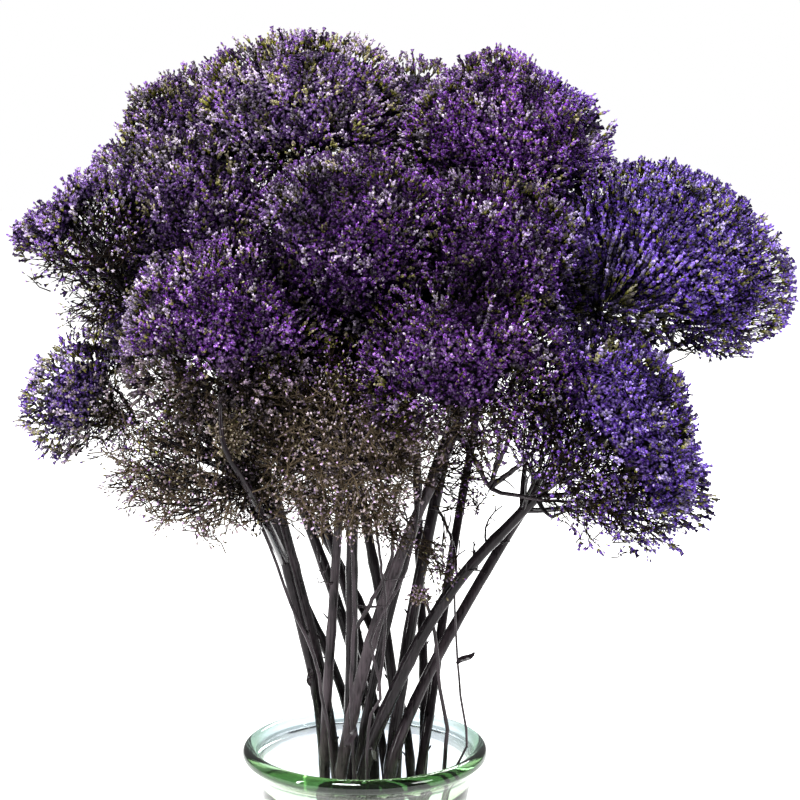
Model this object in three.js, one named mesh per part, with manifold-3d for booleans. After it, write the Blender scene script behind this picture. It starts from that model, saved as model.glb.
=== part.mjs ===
// A bunch of dried trachelium standing in a thick-rimmed glass vase.
// Millimetres, +Z up. The origin is the centre of the vase's flat underside, and -Y is the front.
// Each flowering stem is one solid with its branches, and carries a domed head of florets as a second solid.
import * as THREE from 'three';
import { mergeVertices } from 'three/addons/utils/BufferGeometryUtils.js';
import Module from 'manifold-3d';

const wasm = await Module();
wasm.setup();

const UP = new THREE.Vector3(0, 0, 1);
const TURN = 2 * Math.PI;
const toRadians = THREE.MathUtils.degToRad;

// The clearance that neighbouring pieces keep, and the distance at which points are one
const GAP = 0.3;
const WELD = 1e-4;

const VASE = {
  height: 160,
  rimRadius: 60,
  rimTube: 3.8,
  shoulderRadius: 53,
  shoulderHeight: 147,
  waistRadius: 44,
  waistHeight: 92,
  footRadius: 39,
  footHeight: 30,
  bevel: 4,
  wall: 4.5,
  floor: 18,
  segments: 28,
};

// Stems cross over one another inside the vase, in an outer and an inner ring
const CROSSING_HEIGHT = 95;
const NECK_HEIGHT = 172;
const OUTER_RING = { radius: 23.5, footStep: 9, neckStep: 13 };
const INNER_RING = { radius: 11, footStep: 7, neckStep: 5 };
const STEM_BASE_RADIUS = 3.3;
const STEM_TIP_RADIUS = 1.7;
// The bunch stands a little to the right of the vase's middle
const BUNCH_SHIFT = new THREE.Vector3(5, -1, 0);
const STEM_SIDES = 5;
const STEM_STEPS = 7;
// Between neck and fork the stem swings outwards: share of the way from the fork, and lift
const SWING = { share: 0.45, lift: 14 };
const FOOT_LENGTH = 14;
// How far stems and branches reach up into the underside of a dome
const STEM_BITE = 2;
const BRANCH_BITE = 1.5;

// Straight branches rise from the stem near its fork and spread to the hollow underside of the dome
const BRANCHES = 5;
const BRANCH_RADIUS = 1.2;
const BRANCH_SIDES = 3;
const BRANCH_SHARE = 0.68;
const BRANCH_SPACING = 7;
const SIDE_BRANCH = { baseRadius: 1.9, tipRadius: 1.3, steps: 5 };

// A dome's underside is hollow: height of its middle, dip of its rim, and rows of points between
const HOLLOW = 0.55;
const RIM_DIP = 0.24;
const UNDERSIDE_ROWS = [[0.78, 14], [0.42, 7]];
const SECTORS = 12;
// Unevenness of a dome: five soft lobes, and points moved by a share of a lattice step
const LOBES = 5;
const LOBE_DEPTH = 0.045;
const JITTER = 0.3;

// Room that a head keeps from the florets of the next one, and the least it shrinks to
const ROOM = { aside: 1.5, below: 3, underRim: 0.1, rimShare: 0.86 };
const SMALLEST = 0.45;
const SHRINK_STEP = 0.03;
// Scale that leaves a thin clearance round a head that a branch would reach into
const GROWN = 1.02;

// A head is a dome: centre of its rim, tilt from upright towards an azimuth, half width and rise.
// reach is the distance from the rim's centre back to the point where the stem forks.
// rings counts the rows of florets from crown to rim, and slot is the stem's place round the bunch.
const HEADS = [
  { name: 'crown', at: [-30, 30, 453], tilt: 5, azimuth: 120, half: 45, rise: 48, wrap: 104,
    reach: 38, rings: 6, floret: 7, ring: INNER_RING, slot: 100, color: 0x8b7aa8 },
  { name: 'upper_left', at: [-80, 62, 440], tilt: 15, azimuth: 150, half: 38, rise: 40, wrap: 104,
    reach: 36, rings: 5, floret: 7, ring: OUTER_RING, slot: 152, color: 0x85759a },
  { name: 'back_top', at: [22, 74, 443], tilt: 26, azimuth: 84, half: 42, rise: 44, wrap: 104,
    reach: 38, rings: 5, floret: 7, ring: OUTER_RING, slot: 88, color: 0x6b489c },
  { name: 'top_right', at: [66, 22, 444], tilt: 6, azimuth: 20, half: 46, rise: 48, wrap: 104,
    reach: 40, rings: 6, floret: 7, ring: INNER_RING, slot: 30, color: 0x6c4fb4 },
  { name: 'shoulder', at: [-80, 1, 410], tilt: 16, azimuth: 200, half: 44, rise: 44, wrap: 104,
    reach: 36, rings: 5, floret: 7, ring: INNER_RING, slot: 172, color: 0x6f4c9e },
  { name: 'centre_top', at: [-4, -36, 403], tilt: 26, azimuth: 266, half: 46, rise: 48, wrap: 104,
    reach: 38, rings: 6, floret: 7, ring: INNER_RING, slot: 240, color: 0x6d3f96 },
  { name: 'centre_right', at: [58, -36, 396], tilt: 20, azimuth: 290, half: 42, rise: 44, wrap: 104,
    reach: 38, rings: 6, floret: 7, ring: INNER_RING, slot: 310, color: 0x6a3ca0 },
  { name: 'back_right', at: [84, 97, 382], tilt: 45, azimuth: 48, half: 46, rise: 44, wrap: 104,
    reach: 38, rings: 5, floret: 7, ring: OUTER_RING, slot: 42, color: 0x6744a6 },
  { name: 'back_left', at: [-100, 100, 362], tilt: 46, azimuth: 138, half: 43, rise: 42, wrap: 104,
    reach: 36, rings: 5, floret: 7, ring: OUTER_RING, slot: 122, color: 0x71559a },
  { name: 'far_left', at: [-127, -28, 409], tilt: 36, azimuth: 190, half: 33, rise: 34, wrap: 104,
    reach: 34, rings: 5, floret: 6, ring: OUTER_RING, slot: 184, color: 0x6b58ac },
  { name: 'lower_left', at: [-70, -56, 315], tilt: 58, azimuth: 228, half: 42, rise: 38, wrap: 104,
    reach: 36, rings: 5, floret: 8, ring: OUTER_RING, slot: 241, color: 0x6b6240 },
  { name: 'left_centre', at: [-62, -56, 366], tilt: 30, azimuth: 248, half: 46, rise: 44, wrap: 104,
    reach: 38, rings: 6, floret: 7, ring: OUTER_RING, slot: 212, color: 0x5f43a4 },
  { name: 'lower_centre', at: [-10, -64, 322], tilt: 66, azimuth: 268, half: 43, rise: 38, wrap: 104,
    reach: 38, rings: 5, floret: 8, ring: OUTER_RING, slot: 270, color: 0x6f6250 },
  { name: 'centre_front', at: [46, -76, 354], tilt: 42, azimuth: 278, half: 44, rise: 42, wrap: 104,
    reach: 38, rings: 6, floret: 7, ring: OUTER_RING, slot: 302, color: 0x6a2fae },
  { name: 'right', at: [140, 14, 391], tilt: 16, azimuth: 0, half: 56, rise: 50, wrap: 122,
    reach: 52, rings: 7, floret: 7, ring: OUTER_RING, slot: 0, color: 0x6647b8 },
  { name: 'right_lower', at: [104, -60, 319], tilt: 46, azimuth: 332, half: 54, rise: 50, wrap: 104,
    reach: 46, rings: 7, floret: 7, ring: OUTER_RING, slot: 331, color: 0x5e2cb4 },
];

// A second, smaller head at the left end of the lower left stem
const SIDE_HEADS = [
  { name: 'left_tip', at: [-130, -14, 334], tilt: 62, azimuth: 192, half: 27, rise: 25, wrap: 104,
    reach: 24, rings: 4, floret: 6, stem: 'lower_left', color: 0x7c6a86 },
];

// A small seeded generator, so that every run draws the same numbers
function makeRandom(seed) {
  let state = seed >>> 0;
  return () => {
    state = (Math.imul(state, 1664525) + 1013904223) >>> 0;
    return state / 4294967296;
  };
}

function around(angle, radius, height = 0) {
  return new THREE.Vector3(radius * Math.cos(angle), radius * Math.sin(angle), height);
}

// Closed mesh of points and triangles to a solid, and back to a geometry for drawing
function toSolid(positions, triangles) {
  const mesh = new wasm.Mesh({
    numProp: 3,
    vertProperties: new Float32Array(positions),
    triVerts: new Uint32Array(triangles),
  });
  mesh.merge();
  return new wasm.Manifold(mesh);
}

function toGeometry(solid) {
  const mesh = solid.getMesh();
  const geometry = new THREE.BufferGeometry();
  geometry.setAttribute('position', new THREE.BufferAttribute(new Float32Array(mesh.vertProperties), 3));
  geometry.setIndex(new THREE.BufferAttribute(new Uint32Array(mesh.triVerts), 1));
  return geometry;
}

function largestPiece(solid) {
  const pieces = solid.decompose();
  return pieces.reduce((best, piece) => (piece.volume() > best.volume() ? piece : best));
}

// Triangles between two closed rows of points, which may differ in number
function stitch(rowA, rowB, triangles) {
  let a = 0;
  let b = 0;
  while (a < rowA.length || b < rowB.length) {
    const nextA = (a + 1) / rowA.length;
    const nextB = (b + 1) / rowB.length;
    const cornerA = rowA[a % rowA.length];
    const cornerB = rowB[b % rowB.length];
    if (b >= rowB.length || (a < rowA.length && nextA < nextB)) {
      triangles.push([cornerA, cornerB, rowA[(a + 1) % rowA.length]]);
      a += 1;
    } else {
      triangles.push([cornerA, cornerB, rowB[(b + 1) % rowB.length]]);
      b += 1;
    }
  }
}

function fan(centre, row, triangles) {
  row.forEach((corner, i) => triangles.push([centre, corner, row[(i + 1) % row.length]]));
}

// A round bar that follows a curve, with flat ends
function barSolid(curve, radiusAt, steps, sides) {
  const frames = curve.computeFrenetFrames(steps, false);
  const points = [];
  const triangles = [];
  const rows = [];
  for (let i = 0; i <= steps; i += 1) {
    const centre = curve.getPointAt(i / steps);
    const radius = radiusAt(i / steps);
    const row = [];
    for (let k = 0; k < sides; k += 1) {
      const angle = (TURN * k) / sides;
      const point = centre.clone()
        .addScaledVector(frames.normals[i], radius * Math.cos(angle))
        .addScaledVector(frames.binormals[i], radius * Math.sin(angle));
      row.push(points.length);
      points.push(point);
    }
    rows.push(row);
  }
  const start = points.push(curve.getPointAt(0)) - 1;
  const end = points.push(curve.getPointAt(1)) - 1;
  for (let i = 0; i < steps; i += 1) {
    stitch(rows[i + 1], rows[i], triangles);
  }
  fan(start, [...rows[0]].reverse(), triangles);
  fan(end, rows[steps], triangles);
  return toSolid(points.flatMap((point) => point.toArray()), triangles.flat());
}

// The frame of a head: its axis points from the fork out through the crown of the dome
function headFrame(head) {
  const tilt = toRadians(head.tilt);
  const azimuth = toRadians(head.azimuth);
  const axis = around(azimuth, Math.sin(tilt), Math.cos(tilt));
  const centre = new THREE.Vector3(...head.at);
  const fork = centre.clone().addScaledVector(axis, -head.reach);
  const turn = new THREE.Quaternion().setFromUnitVectors(UP, axis);
  const matrix = new THREE.Matrix4().compose(centre, turn, new THREE.Vector3(1, 1, 1));
  return { axis, centre, fork, matrix };
}

function sectorOf(angle) {
  return ((Math.floor((angle / TURN) * SECTORS) % SECTORS) + SECTORS) % SECTORS;
}

// Height of a dome's hollow underside at a share of its half width
function undersideHeight(head, share) {
  const wrap = toRadians(head.wrap);
  const fromRim = Math.min(1, share / Math.sin(wrap)) ** 2;
  return head.rise * (HOLLOW + (Math.min(0, Math.cos(wrap) + RIM_DIP) - HOLLOW) * fromRim);
}

// True where a point lies in the room that a head takes up with its florets
function insideHead(point, head) {
  const local = point.clone().applyMatrix4(headFrame(head).matrix.clone().invert());
  const room = head.floret + ROOM.aside;
  const across = Math.hypot(local.x, local.y);
  const share = across / (head.half + room);
  const underside = undersideHeight(head, across / head.half) - ROOM.below;
  return share ** 2 + (local.z / (head.rise + room)) ** 2 < 1
    && local.z > (Math.cos(toRadians(head.wrap)) - ROOM.underRim) * head.rise
    && (local.z > underside || share > ROOM.rimShare);
}

// How far a point of one head must draw back towards its centre to stay clear of the others
function drawnBack(local, matrix, others) {
  for (let scale = 1; scale > SMALLEST; scale -= SHRINK_STEP) {
    const point = local.clone().multiplyScalar(scale).applyMatrix4(matrix);
    if (!others.some((other) => insideHead(point, other))) {
      return scale;
    }
  }
  return SMALLEST;
}

// Adds the rings of points from the crown to the rim, and notes how far each sector drew back
function addRings(head, points, matrix, near, sectorScale, random) {
  points.push(new THREE.Vector3(0, 0, head.rise));
  points[0].multiplyScalar(drawnBack(points[0], matrix, near));
  const lobePhase = TURN * random();
  const rows = [];
  for (let ring = 1; ring <= head.rings; ring += 1) {
    const row = [];
    for (let k = 0; k < 6 * ring; k += 1) {
      const polar = toRadians(head.wrap) * (ring + JITTER * (random() - 0.5)) / head.rings;
      const angle = (TURN * (k + 0.5 * (ring % 2) + JITTER * (random() - 0.5))) / (6 * ring);
      const lobe = 1 + LOBE_DEPTH * Math.sin(LOBES * angle + lobePhase) * Math.sin(polar);
      const point = around(angle, head.half * lobe * Math.sin(polar), head.rise * Math.cos(polar));
      const scale = drawnBack(point, matrix, near);
      if (ring > 1) {
        noteSector(sectorScale, sectorOf(angle), scale);
      }
      row.push(points.length);
      points.push(point.multiplyScalar(scale));
    }
    rows.push(row);
  }
  return rows;
}

function noteSector(sectorScale, sector, scale) {
  [-1, 0, 1].forEach((step) => {
    const beside = (sector + step + SECTORS) % SECTORS;
    sectorScale[beside] = Math.min(sectorScale[beside], scale);
  });
}

// Draws every triangle of the skin out into one pointed floret that aims away from the fork
function addFlorets(head, skin, points, matrix, near, random) {
  const triangles = [];
  const fork = new THREE.Vector3(0, 0, -0.5 * head.reach);
  skin.forEach(([a, b, c]) => {
    const middle = new THREE.Vector3().add(points[a]).add(points[b]).add(points[c]).divideScalar(3);
    const outwards = middle.clone().sub(fork).normalize();
    let length = head.floret * (0.6 + 0.6 * random());
    const tip = middle.clone().addScaledVector(outwards, length);
    while (length > 1 && near.some((other) => insideHead(tip.clone().applyMatrix4(matrix), other))) {
      length *= 0.7;
      tip.copy(middle).addScaledVector(outwards, length);
    }
    const d = points.push(tip) - 1;
    triangles.push([a, b, d], [b, c, d], [c, a, d]);
  });
  return triangles;
}

// Closes a dome with its hollow underside
function addUnderside(head, outerRow, points, triangles, sectorScale) {
  let rim = outerRow;
  UNDERSIDE_ROWS.forEach(([share, count]) => {
    const row = [];
    for (let k = 0; k < count; k += 1) {
      const angle = (TURN * k) / count;
      const across = share * Math.sin(toRadians(head.wrap));
      const point = around(angle, head.half * across, undersideHeight(head, across));
      row.push(points.length);
      points.push(point.multiplyScalar(sectorScale[sectorOf(angle)]));
    }
    stitch(rim, row, triangles);
    rim = row;
  });
  const deepest = points.push(new THREE.Vector3(0, 0, undersideHeight(head, 0))) - 1;
  points[deepest].multiplyScalar(Math.min(...sectorScale));
  fan(deepest, [...rim].reverse(), triangles);
}

// The dome of florets: a lattice of rings whose every triangle is drawn out into one pointed floret
function domeSolid(head, others, seed) {
  const random = makeRandom(seed);
  const { matrix } = headFrame(head);
  const near = others.filter((other) => headFrame(other).centre.distanceTo(headFrame(head).centre)
    < head.half + other.half + head.floret + other.floret);
  const points = [];
  const sectorScale = new Array(SECTORS).fill(1);
  const rows = addRings(head, points, matrix, near, sectorScale, random);
  const skin = [];
  fan(0, rows[0], skin);
  for (let ring = 1; ring < head.rings; ring += 1) {
    stitch(rows[ring - 1], rows[ring], skin);
  }
  const triangles = addFlorets(head, skin, points, matrix, near, random);
  addUnderside(head, rows[head.rings - 1], points, triangles, sectorScale);
  const placed = points.map((point) => point.clone().applyMatrix4(matrix));
  return toSolid(placed.flatMap((point) => point.toArray()), triangles.flat());
}

// A plain dome that holds a head and its florets, for cutting back what still reaches into it
function roomSolid(head) {
  const room = 1.2 * head.floret + 1 + 0.05 * head.half;
  const ball = new THREE.IcosahedronGeometry(1, 1);
  ball.deleteAttribute('normal');
  ball.deleteAttribute('uv');
  const geometry = mergeVertices(ball, WELD);
  const position = geometry.attributes.position;
  const lowest = Math.cos(toRadians(head.wrap));
  const { matrix } = headFrame(head);
  const placed = [];
  for (let i = 0; i < position.count; i += 1) {
    const point = new THREE.Vector3().fromBufferAttribute(position, i);
    const share = (Math.hypot(point.x, point.y) * (head.half + room)) / head.half;
    const below = undersideHeight(head, share) - room + lowest * head.rise * Math.min(1, share) ** 4;
    const height = point.z > lowest ? point.z * (head.rise + room) : below;
    point.set(point.x * (head.half + room), point.y * (head.half + room), height);
    placed.push(...point.applyMatrix4(matrix).toArray());
  }
  return toSolid(placed, geometry.index.array);
}

// The path of a stem from the vase's floor, across the bunch and out to its fork under the head
function stemCurve(head) {
  const heading = toRadians(head.slot);
  const { axis, centre, fork } = headFrame(head);
  const side = around(heading - TURN / 4, head.ring.radius);
  const foot = side.clone().add(around(heading, -head.ring.footStep, VASE.floor + GAP));
  const footTop = foot.clone().setZ(VASE.floor + FOOT_LENGTH);
  const crossing = side.clone().addScaledVector(BUNCH_SHIFT, 0.5).setZ(CROSSING_HEIGHT);
  const neck = side.clone().add(around(heading, head.ring.neckStep, NECK_HEIGHT)).add(BUNCH_SHIFT);
  const tip = centre.clone().addScaledVector(axis, undersideHeight(head, 0) + STEM_BITE);
  const rise = fork.clone().lerp(neck, SWING.share).addScaledVector(UP, SWING.lift);
  return new THREE.CatmullRomCurve3([foot, footTop, crossing, neck, rise, fork, tip]);
}

function branchSolids(head, random) {
  const { axis, fork, matrix } = headFrame(head);
  const solids = [];
  const first = TURN * random();
  for (let k = 0; k < BRANCHES; k += 1) {
    const angle = first + (TURN * (k + 0.3 * (random() - 0.5))) / BRANCHES;
    const share = BRANCH_SHARE * (0.85 + 0.3 * random());
    const end = around(angle, head.half * share, undersideHeight(head, share) + BRANCH_BITE)
      .applyMatrix4(matrix);
    const start = fork.clone().addScaledVector(axis, BRANCH_SPACING * (k % 3) - 1);
    solids.push(barSolid(new THREE.LineCurve3(start, end), () => BRANCH_RADIUS, 1, BRANCH_SIDES));
  }
  return solids;
}

function stemSolid(head, seed) {
  const random = makeRandom(seed);
  const radiusAt = (t) => THREE.MathUtils.lerp(STEM_BASE_RADIUS, STEM_TIP_RADIUS, t ** 3);
  const main = barSolid(stemCurve(head), radiusAt, STEM_STEPS, STEM_SIDES);
  return branchSolids(head, random).reduce((sum, branch) => sum.add(branch), main);
}

// The branch that carries a side head leaves the stem below its fork
function sideStemSolid(side, host) {
  const { axis, centre, fork } = headFrame(side);
  const hostFrame = headFrame(host);
  const tip = centre.clone().addScaledVector(axis, undersideHeight(side, 0) + STEM_BITE);
  const start = hostFrame.fork.clone().addScaledVector(hostFrame.axis, 1);
  const radiusAt = (t) => THREE.MathUtils.lerp(SIDE_BRANCH.baseRadius, SIDE_BRANCH.tipRadius, t);
  return barSolid(new THREE.CatmullRomCurve3([start, fork, tip]), radiusAt, SIDE_BRANCH.steps, BRANCH_SIDES);
}

function vaseGeometry() {
  const rimCentre = VASE.rimRadius - VASE.rimTube;
  const rimHeight = VASE.height - VASE.rimTube;
  const outer = new THREE.SplineCurve([
    new THREE.Vector2(VASE.footRadius, VASE.bevel),
    new THREE.Vector2(VASE.footRadius + 1, VASE.footHeight),
    new THREE.Vector2(VASE.waistRadius, VASE.waistHeight),
    new THREE.Vector2(VASE.shoulderRadius, VASE.shoulderHeight),
  ]).getPoints(4);
  const rim = new THREE.EllipseCurve(rimCentre, rimHeight, VASE.rimTube, VASE.rimTube,
    toRadians(-80), toRadians(215), false).getPoints(7);
  const inner = [...outer].reverse().slice(1, -1)
    .map((point) => new THREE.Vector2(point.x - VASE.wall, point.y))
    .filter((point) => point.y > VASE.floor + 2 * VASE.bevel);
  const profile = [
    new THREE.Vector2(0, 0),
    new THREE.Vector2(VASE.footRadius - VASE.bevel, 0),
    ...outer,
    ...rim,
    ...inner,
    new THREE.Vector2(VASE.footRadius - VASE.wall - 2, VASE.floor + 3),
    new THREE.Vector2(VASE.footRadius - VASE.wall - 5, VASE.floor),
    new THREE.Vector2(0, VASE.floor),
  ];
  const geometry = new THREE.LatheGeometry(profile, VASE.segments);
  geometry.rotateX(Math.PI / 2);
  geometry.deleteAttribute('normal');
  geometry.deleteAttribute('uv');
  return mergeVertices(geometry, WELD);
}

const part = new THREE.Group();

function addPiece(name, geometry, color, roughness, extra = {}) {
  const material = new THREE.MeshStandardMaterial({ color, roughness, metalness: 0, ...extra });
  const mesh = new THREE.Mesh(geometry, material);
  mesh.name = name;
  part.add(mesh);
}

addPiece('vase', vaseGeometry(), 0xbcdcc8, 0.08, { transparent: true, opacity: 0.4 });

// Heads later in the list keep their form, and the ones before them draw back from them
const everyHead = [...HEADS, ...SIDE_HEADS];
const domes = everyHead.map((head, i) => domeSolid(head, everyHead.slice(i + 1), 101 + i));
everyHead.forEach((head, i) => {
  for (let j = i + 1; j < domes.length; j += 1) {
    if (domes[i].intersect(domes[j]).volume() > 0) {
      domes[i] = largestPiece(domes[i].subtract(roomSolid(everyHead[j])));
    }
  }
});

HEADS.forEach((head, i) => {
  let stem = stemSolid(head, 501 + i);
  SIDE_HEADS.filter((side) => side.stem === head.name).forEach((side) => {
    stem = stem.add(sideStemSolid(side, head));
  });
  everyHead.forEach((other, j) => {
    const { axis, centre } = headFrame(other);
    const lowered = domes[j].translate(axis.clone().multiplyScalar(-GAP).toArray());
    if (other === head || other.stem === head.name) {
      stem = stem.subtract(lowered);
    } else if (stem.intersect(domes[j]).volume() > 0) {
      const shift = centre.toArray();
      const grown = domes[j].translate(shift.map((value) => -value)).scale(GROWN).translate(shift);
      stem = largestPiece(stem.subtract(grown).subtract(lowered).subtract(domes[j]));
    }
  });
  addPiece(`stem_${head.name}`, toGeometry(largestPiece(stem)), 0x3b3238, 0.75);
});

everyHead.forEach((head, i) => {
  addPiece(`head_${head.name}`, toGeometry(domes[i]), head.color, 0.9);
});

export default part;
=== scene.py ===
# A bunch of dried trachelium standing in a thick-rimmed glass vase.
# The heads and stems are laid out in millimetres, as in the CAD source, and MM turns them into metres.
import math
from collections import namedtuple

import bmesh
import bpy
import numpy as np
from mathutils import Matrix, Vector


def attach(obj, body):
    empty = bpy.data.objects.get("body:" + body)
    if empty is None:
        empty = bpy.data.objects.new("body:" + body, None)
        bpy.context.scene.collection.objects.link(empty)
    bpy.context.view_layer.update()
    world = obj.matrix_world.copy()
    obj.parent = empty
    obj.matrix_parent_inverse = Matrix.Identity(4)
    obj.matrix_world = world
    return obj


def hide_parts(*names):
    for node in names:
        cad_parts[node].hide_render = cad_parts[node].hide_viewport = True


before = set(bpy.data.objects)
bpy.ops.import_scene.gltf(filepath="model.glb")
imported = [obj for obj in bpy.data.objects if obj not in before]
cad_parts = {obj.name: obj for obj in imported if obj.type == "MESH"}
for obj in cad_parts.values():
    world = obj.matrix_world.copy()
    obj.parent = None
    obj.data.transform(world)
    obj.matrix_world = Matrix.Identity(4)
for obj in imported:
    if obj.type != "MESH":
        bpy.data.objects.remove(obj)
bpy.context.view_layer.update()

MM = 0.001
TURN = 2 * math.pi
GOLDEN_ANGLE = math.pi * (3 - math.sqrt(5))
UP = np.array([0.0, 0.0, 1.0])

# The photograph was taken from the front, a little above the bunch
CAMERA_PLACE = (0.0172, -1.1803, 0.5471)
CAMERA_PITCH_DOWN = 10.4
CAMERA_LENS = 113.13
SENSOR_WIDTH = 36.0

# The vase, and each stem's way from its floor through the neck to the fork under its head, as in the CAD
VASE_HEIGHT = 160
VASE_FLOOR = 18
BUNCH_SHIFT = np.array([5.0, -1.0, 0.0])
CROSSING_HEIGHT = 95
NECK_HEIGHT = 172
FOOT_LENGTH = 14
CLEARANCE = 0.3
STEM_BASE_RADIUS = 3.3
STEM_TIP_RADIUS = 1.7
SWING_SHARE = 0.45
SWING_LIFT = 14
STEM_BITE = 2

# The domes of the heads, as in the CAD: their hollow underside, and shallow lobes turned by a seeded draw
HOLLOW = 0.55
RIM_DIP = 0.24
LOBES = 5
LOBE_DEPTH = 0.045
LOBE_DRAW = (1664525, 1013904223, 2 ** 32)
FIRST_SEED = 101

Ring = namedtuple("Ring", "radius foot_step neck_step")
OUTER_RING = Ring(23.5, 9, 13)
INNER_RING = Ring(11, 7, 5)

# Each head: the middle of its dome, the tilt and azimuth of its axis, its half width and rise, how far it
# wraps round, how far off its fork is, the ring and slot of its stem in the vase, and its look
Head = namedtuple("Head", "name at tilt azimuth half rise wrap reach ring slot look")
HEADS = [
    Head("crown", (-30, 30, 453), 5, 120, 45, 48, 104, 38, INNER_RING, 100, "lilac"),
    Head("upper_left", (-80, 62, 440), 15, 150, 38, 40, 104, 36, OUTER_RING, 152, "lilac"),
    Head("back_top", (22, 74, 443), 26, 84, 42, 44, 104, 38, OUTER_RING, 88, "violet"),
    Head("top_right", (66, 22, 444), 6, 20, 46, 48, 104, 40, INNER_RING, 30, "blue"),
    Head("shoulder", (-80, 1, 410), 16, 200, 44, 44, 104, 36, INNER_RING, 172, "violet"),
    Head("centre_top", (-4, -36, 403), 26, 266, 46, 48, 104, 38, INNER_RING, 240, "plum"),
    Head("centre_right", (58, -36, 396), 20, 290, 42, 44, 104, 38, INNER_RING, 310, "plum"),
    Head("back_right", (84, 97, 382), 45, 48, 46, 44, 104, 38, OUTER_RING, 42, "blue"),
    Head("back_left", (-100, 100, 362), 46, 138, 43, 42, 104, 36, OUTER_RING, 122, "violet"),
    Head("far_left", (-127, -28, 409), 36, 190, 33, 34, 104, 34, OUTER_RING, 184, "blue"),
    Head("lower_left", (-70, -56, 315), 58, 228, 42, 38, 104, 36, OUTER_RING, 241, "olive"),
    Head("left_centre", (-62, -56, 366), 30, 248, 46, 44, 104, 38, OUTER_RING, 212, "violet"),
    Head("lower_centre", (-10, -64, 322), 66, 268, 43, 38, 104, 38, OUTER_RING, 270, "brown"),
    Head("centre_front", (46, -76, 354), 42, 278, 44, 42, 104, 38, OUTER_RING, 302, "vivid"),
    Head("right", (140, 14, 391), 16, 0, 56, 50, 122, 52, OUTER_RING, 0, "blue"),
    Head("right_lower", (104, -60, 319), 46, 332, 54, 50, 104, 46, OUTER_RING, 331, "vivid"),
]
SIDE_HEAD = Head("left_tip", (-130, -14, 334), 62, 192, 27, 25, 104, 24, OUTER_RING, 241, "mauve")
SIDE_STEM = "lower_left"
EVERY_HEAD = HEADS + [SIDE_HEAD]

# A look is how a head's florets are spread: the distance between sprigs, the florets on each, the shares
# of florets that are open and closed (the rest are buds), and the shares of tufts that are pale and budding.
Look = namedtuple("Look", "spacing florets open closed pale budding slot")
LOOKS = {
    "lilac": Look(3.55, 4, 0.15, 0.66, 0.38, 0.17, "lilac_florets"),
    "blue": Look(3.5, 4, 0.16, 0.80, 0.14, 0.03, "violet_florets"),
    "violet": Look(3.55, 4, 0.15, 0.71, 0.22, 0.09, "violet_florets"),
    "plum": Look(3.6, 4, 0.15, 0.74, 0.18, 0.06, "violet_florets"),
    "vivid": Look(3.7, 4, 0.16, 0.77, 0.12, 0.04, "violet_florets"),
    "brown": Look(5.9, 4, 0.03, 0.86, 0.34, 0.04, "olive_florets"),
    "olive": Look(7.9, 4, 0.02, 0.84, 0.14, 0.12, "olive_florets"),
    "mauve": Look(3.35, 4, 0.14, 0.70, 0.30, 0.18, "olive_florets"),
}
SPARSE = ("brown", "olive")
BACK_HEADS = ("back_top", "back_left", "back_right")

# The sprigs of these heads fan out from a hollow at one side, at this place
FANS = {"right": np.array([108.0, -26.0, 376.0])}
FAN_HOLLOW = 13

# Painted light and shade: how brightly each head's florets are painted as lit; the middle ones are deeper in
# the bunch and painted darker
PAINTED_LIGHT = {"crown": 1.45, "upper_left": 1.0, "top_right": 1.42, "shoulder": 0.92, "centre_top": 0.85,
        "centre_right": 0.79, "left_centre": 1.1, "centre_front": 0.84, "right": 1.46, "right_lower": 1.21,
        "far_left": 1.3, "left_tip": 1.25, "lower_centre": 1.5, "lower_left": 1.45}
PLAIN_PAINTED_LIGHT = 0.9

# Painted shade in the hollows between the heads: a place and how far round it the florets are painted darker
HOLLOWS = [((106, -30, 384), 40), ((2, -88, 386), 19), ((52, -84, 400), 26), ((-20, -80, 432), 22)]
HOLLOW_DARK = 0.3
HOLLOW_CORE = 0.3

# Beyond a plane, given by a point and the way it faces, a head's florets thin out to bare twigs.
# Then come the width of the change and the shares of florets and of twigs left beyond it.
Bare = namedtuple("Bare", "point facing width florets twigs")
BARE = {"far_left": Bare((-138, -45, 416), (0.55, 0, -0.84), 12, 0.04, 0.3),
        "shoulder": Bare((-110, -20, 400), (-0.8, 0, -0.55), 16, 0.25, 0.5),
        "left_tip": Bare((-120, -30, 318), (0.6, 0, -0.8), 14, 0.3, 0.5),
        "left_centre": Bare((-60, -90, 362), (0, 0, -1), 34, 0.40, 0.6),
        "centre_front": Bare((46, -110, 350), (0.2, 0, -1), 30, 0.08, 0.5),
        "right_lower": Bare((112, -90, 326), (-0.76, 0, -0.65), 24, 0.1, 1.0),
        "right": Bare((160, 0, 362), (-0.2, 0, -1), 16, 0.5, 0.6)}

# Lobe colours from the deepest to the lightest, by place in the bunch
PLUM = ("1a0826", "6a2698", "b580d8")
BLUE = ("1c103e", "5f38b2", "a68aec")
GREY = ("2c1d34", "6c4494", "b9a3cf")
OLIVE = ("362e2b", "877b71", "c5bbb2")
PALE_TINT = "d6cbd8"
PALE_BLUE_TINT = "c6b8ea"
BUD_TINT = "9a9a3c"
DRY_BUD_TINT = "5c5740"
STALK_TINT = "211a14"
DRY_STALK_TINT = "4a4033"
GREEN_STALK_TINT = "949438"
DULL_STALK_TINT = "6a6448"
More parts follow.
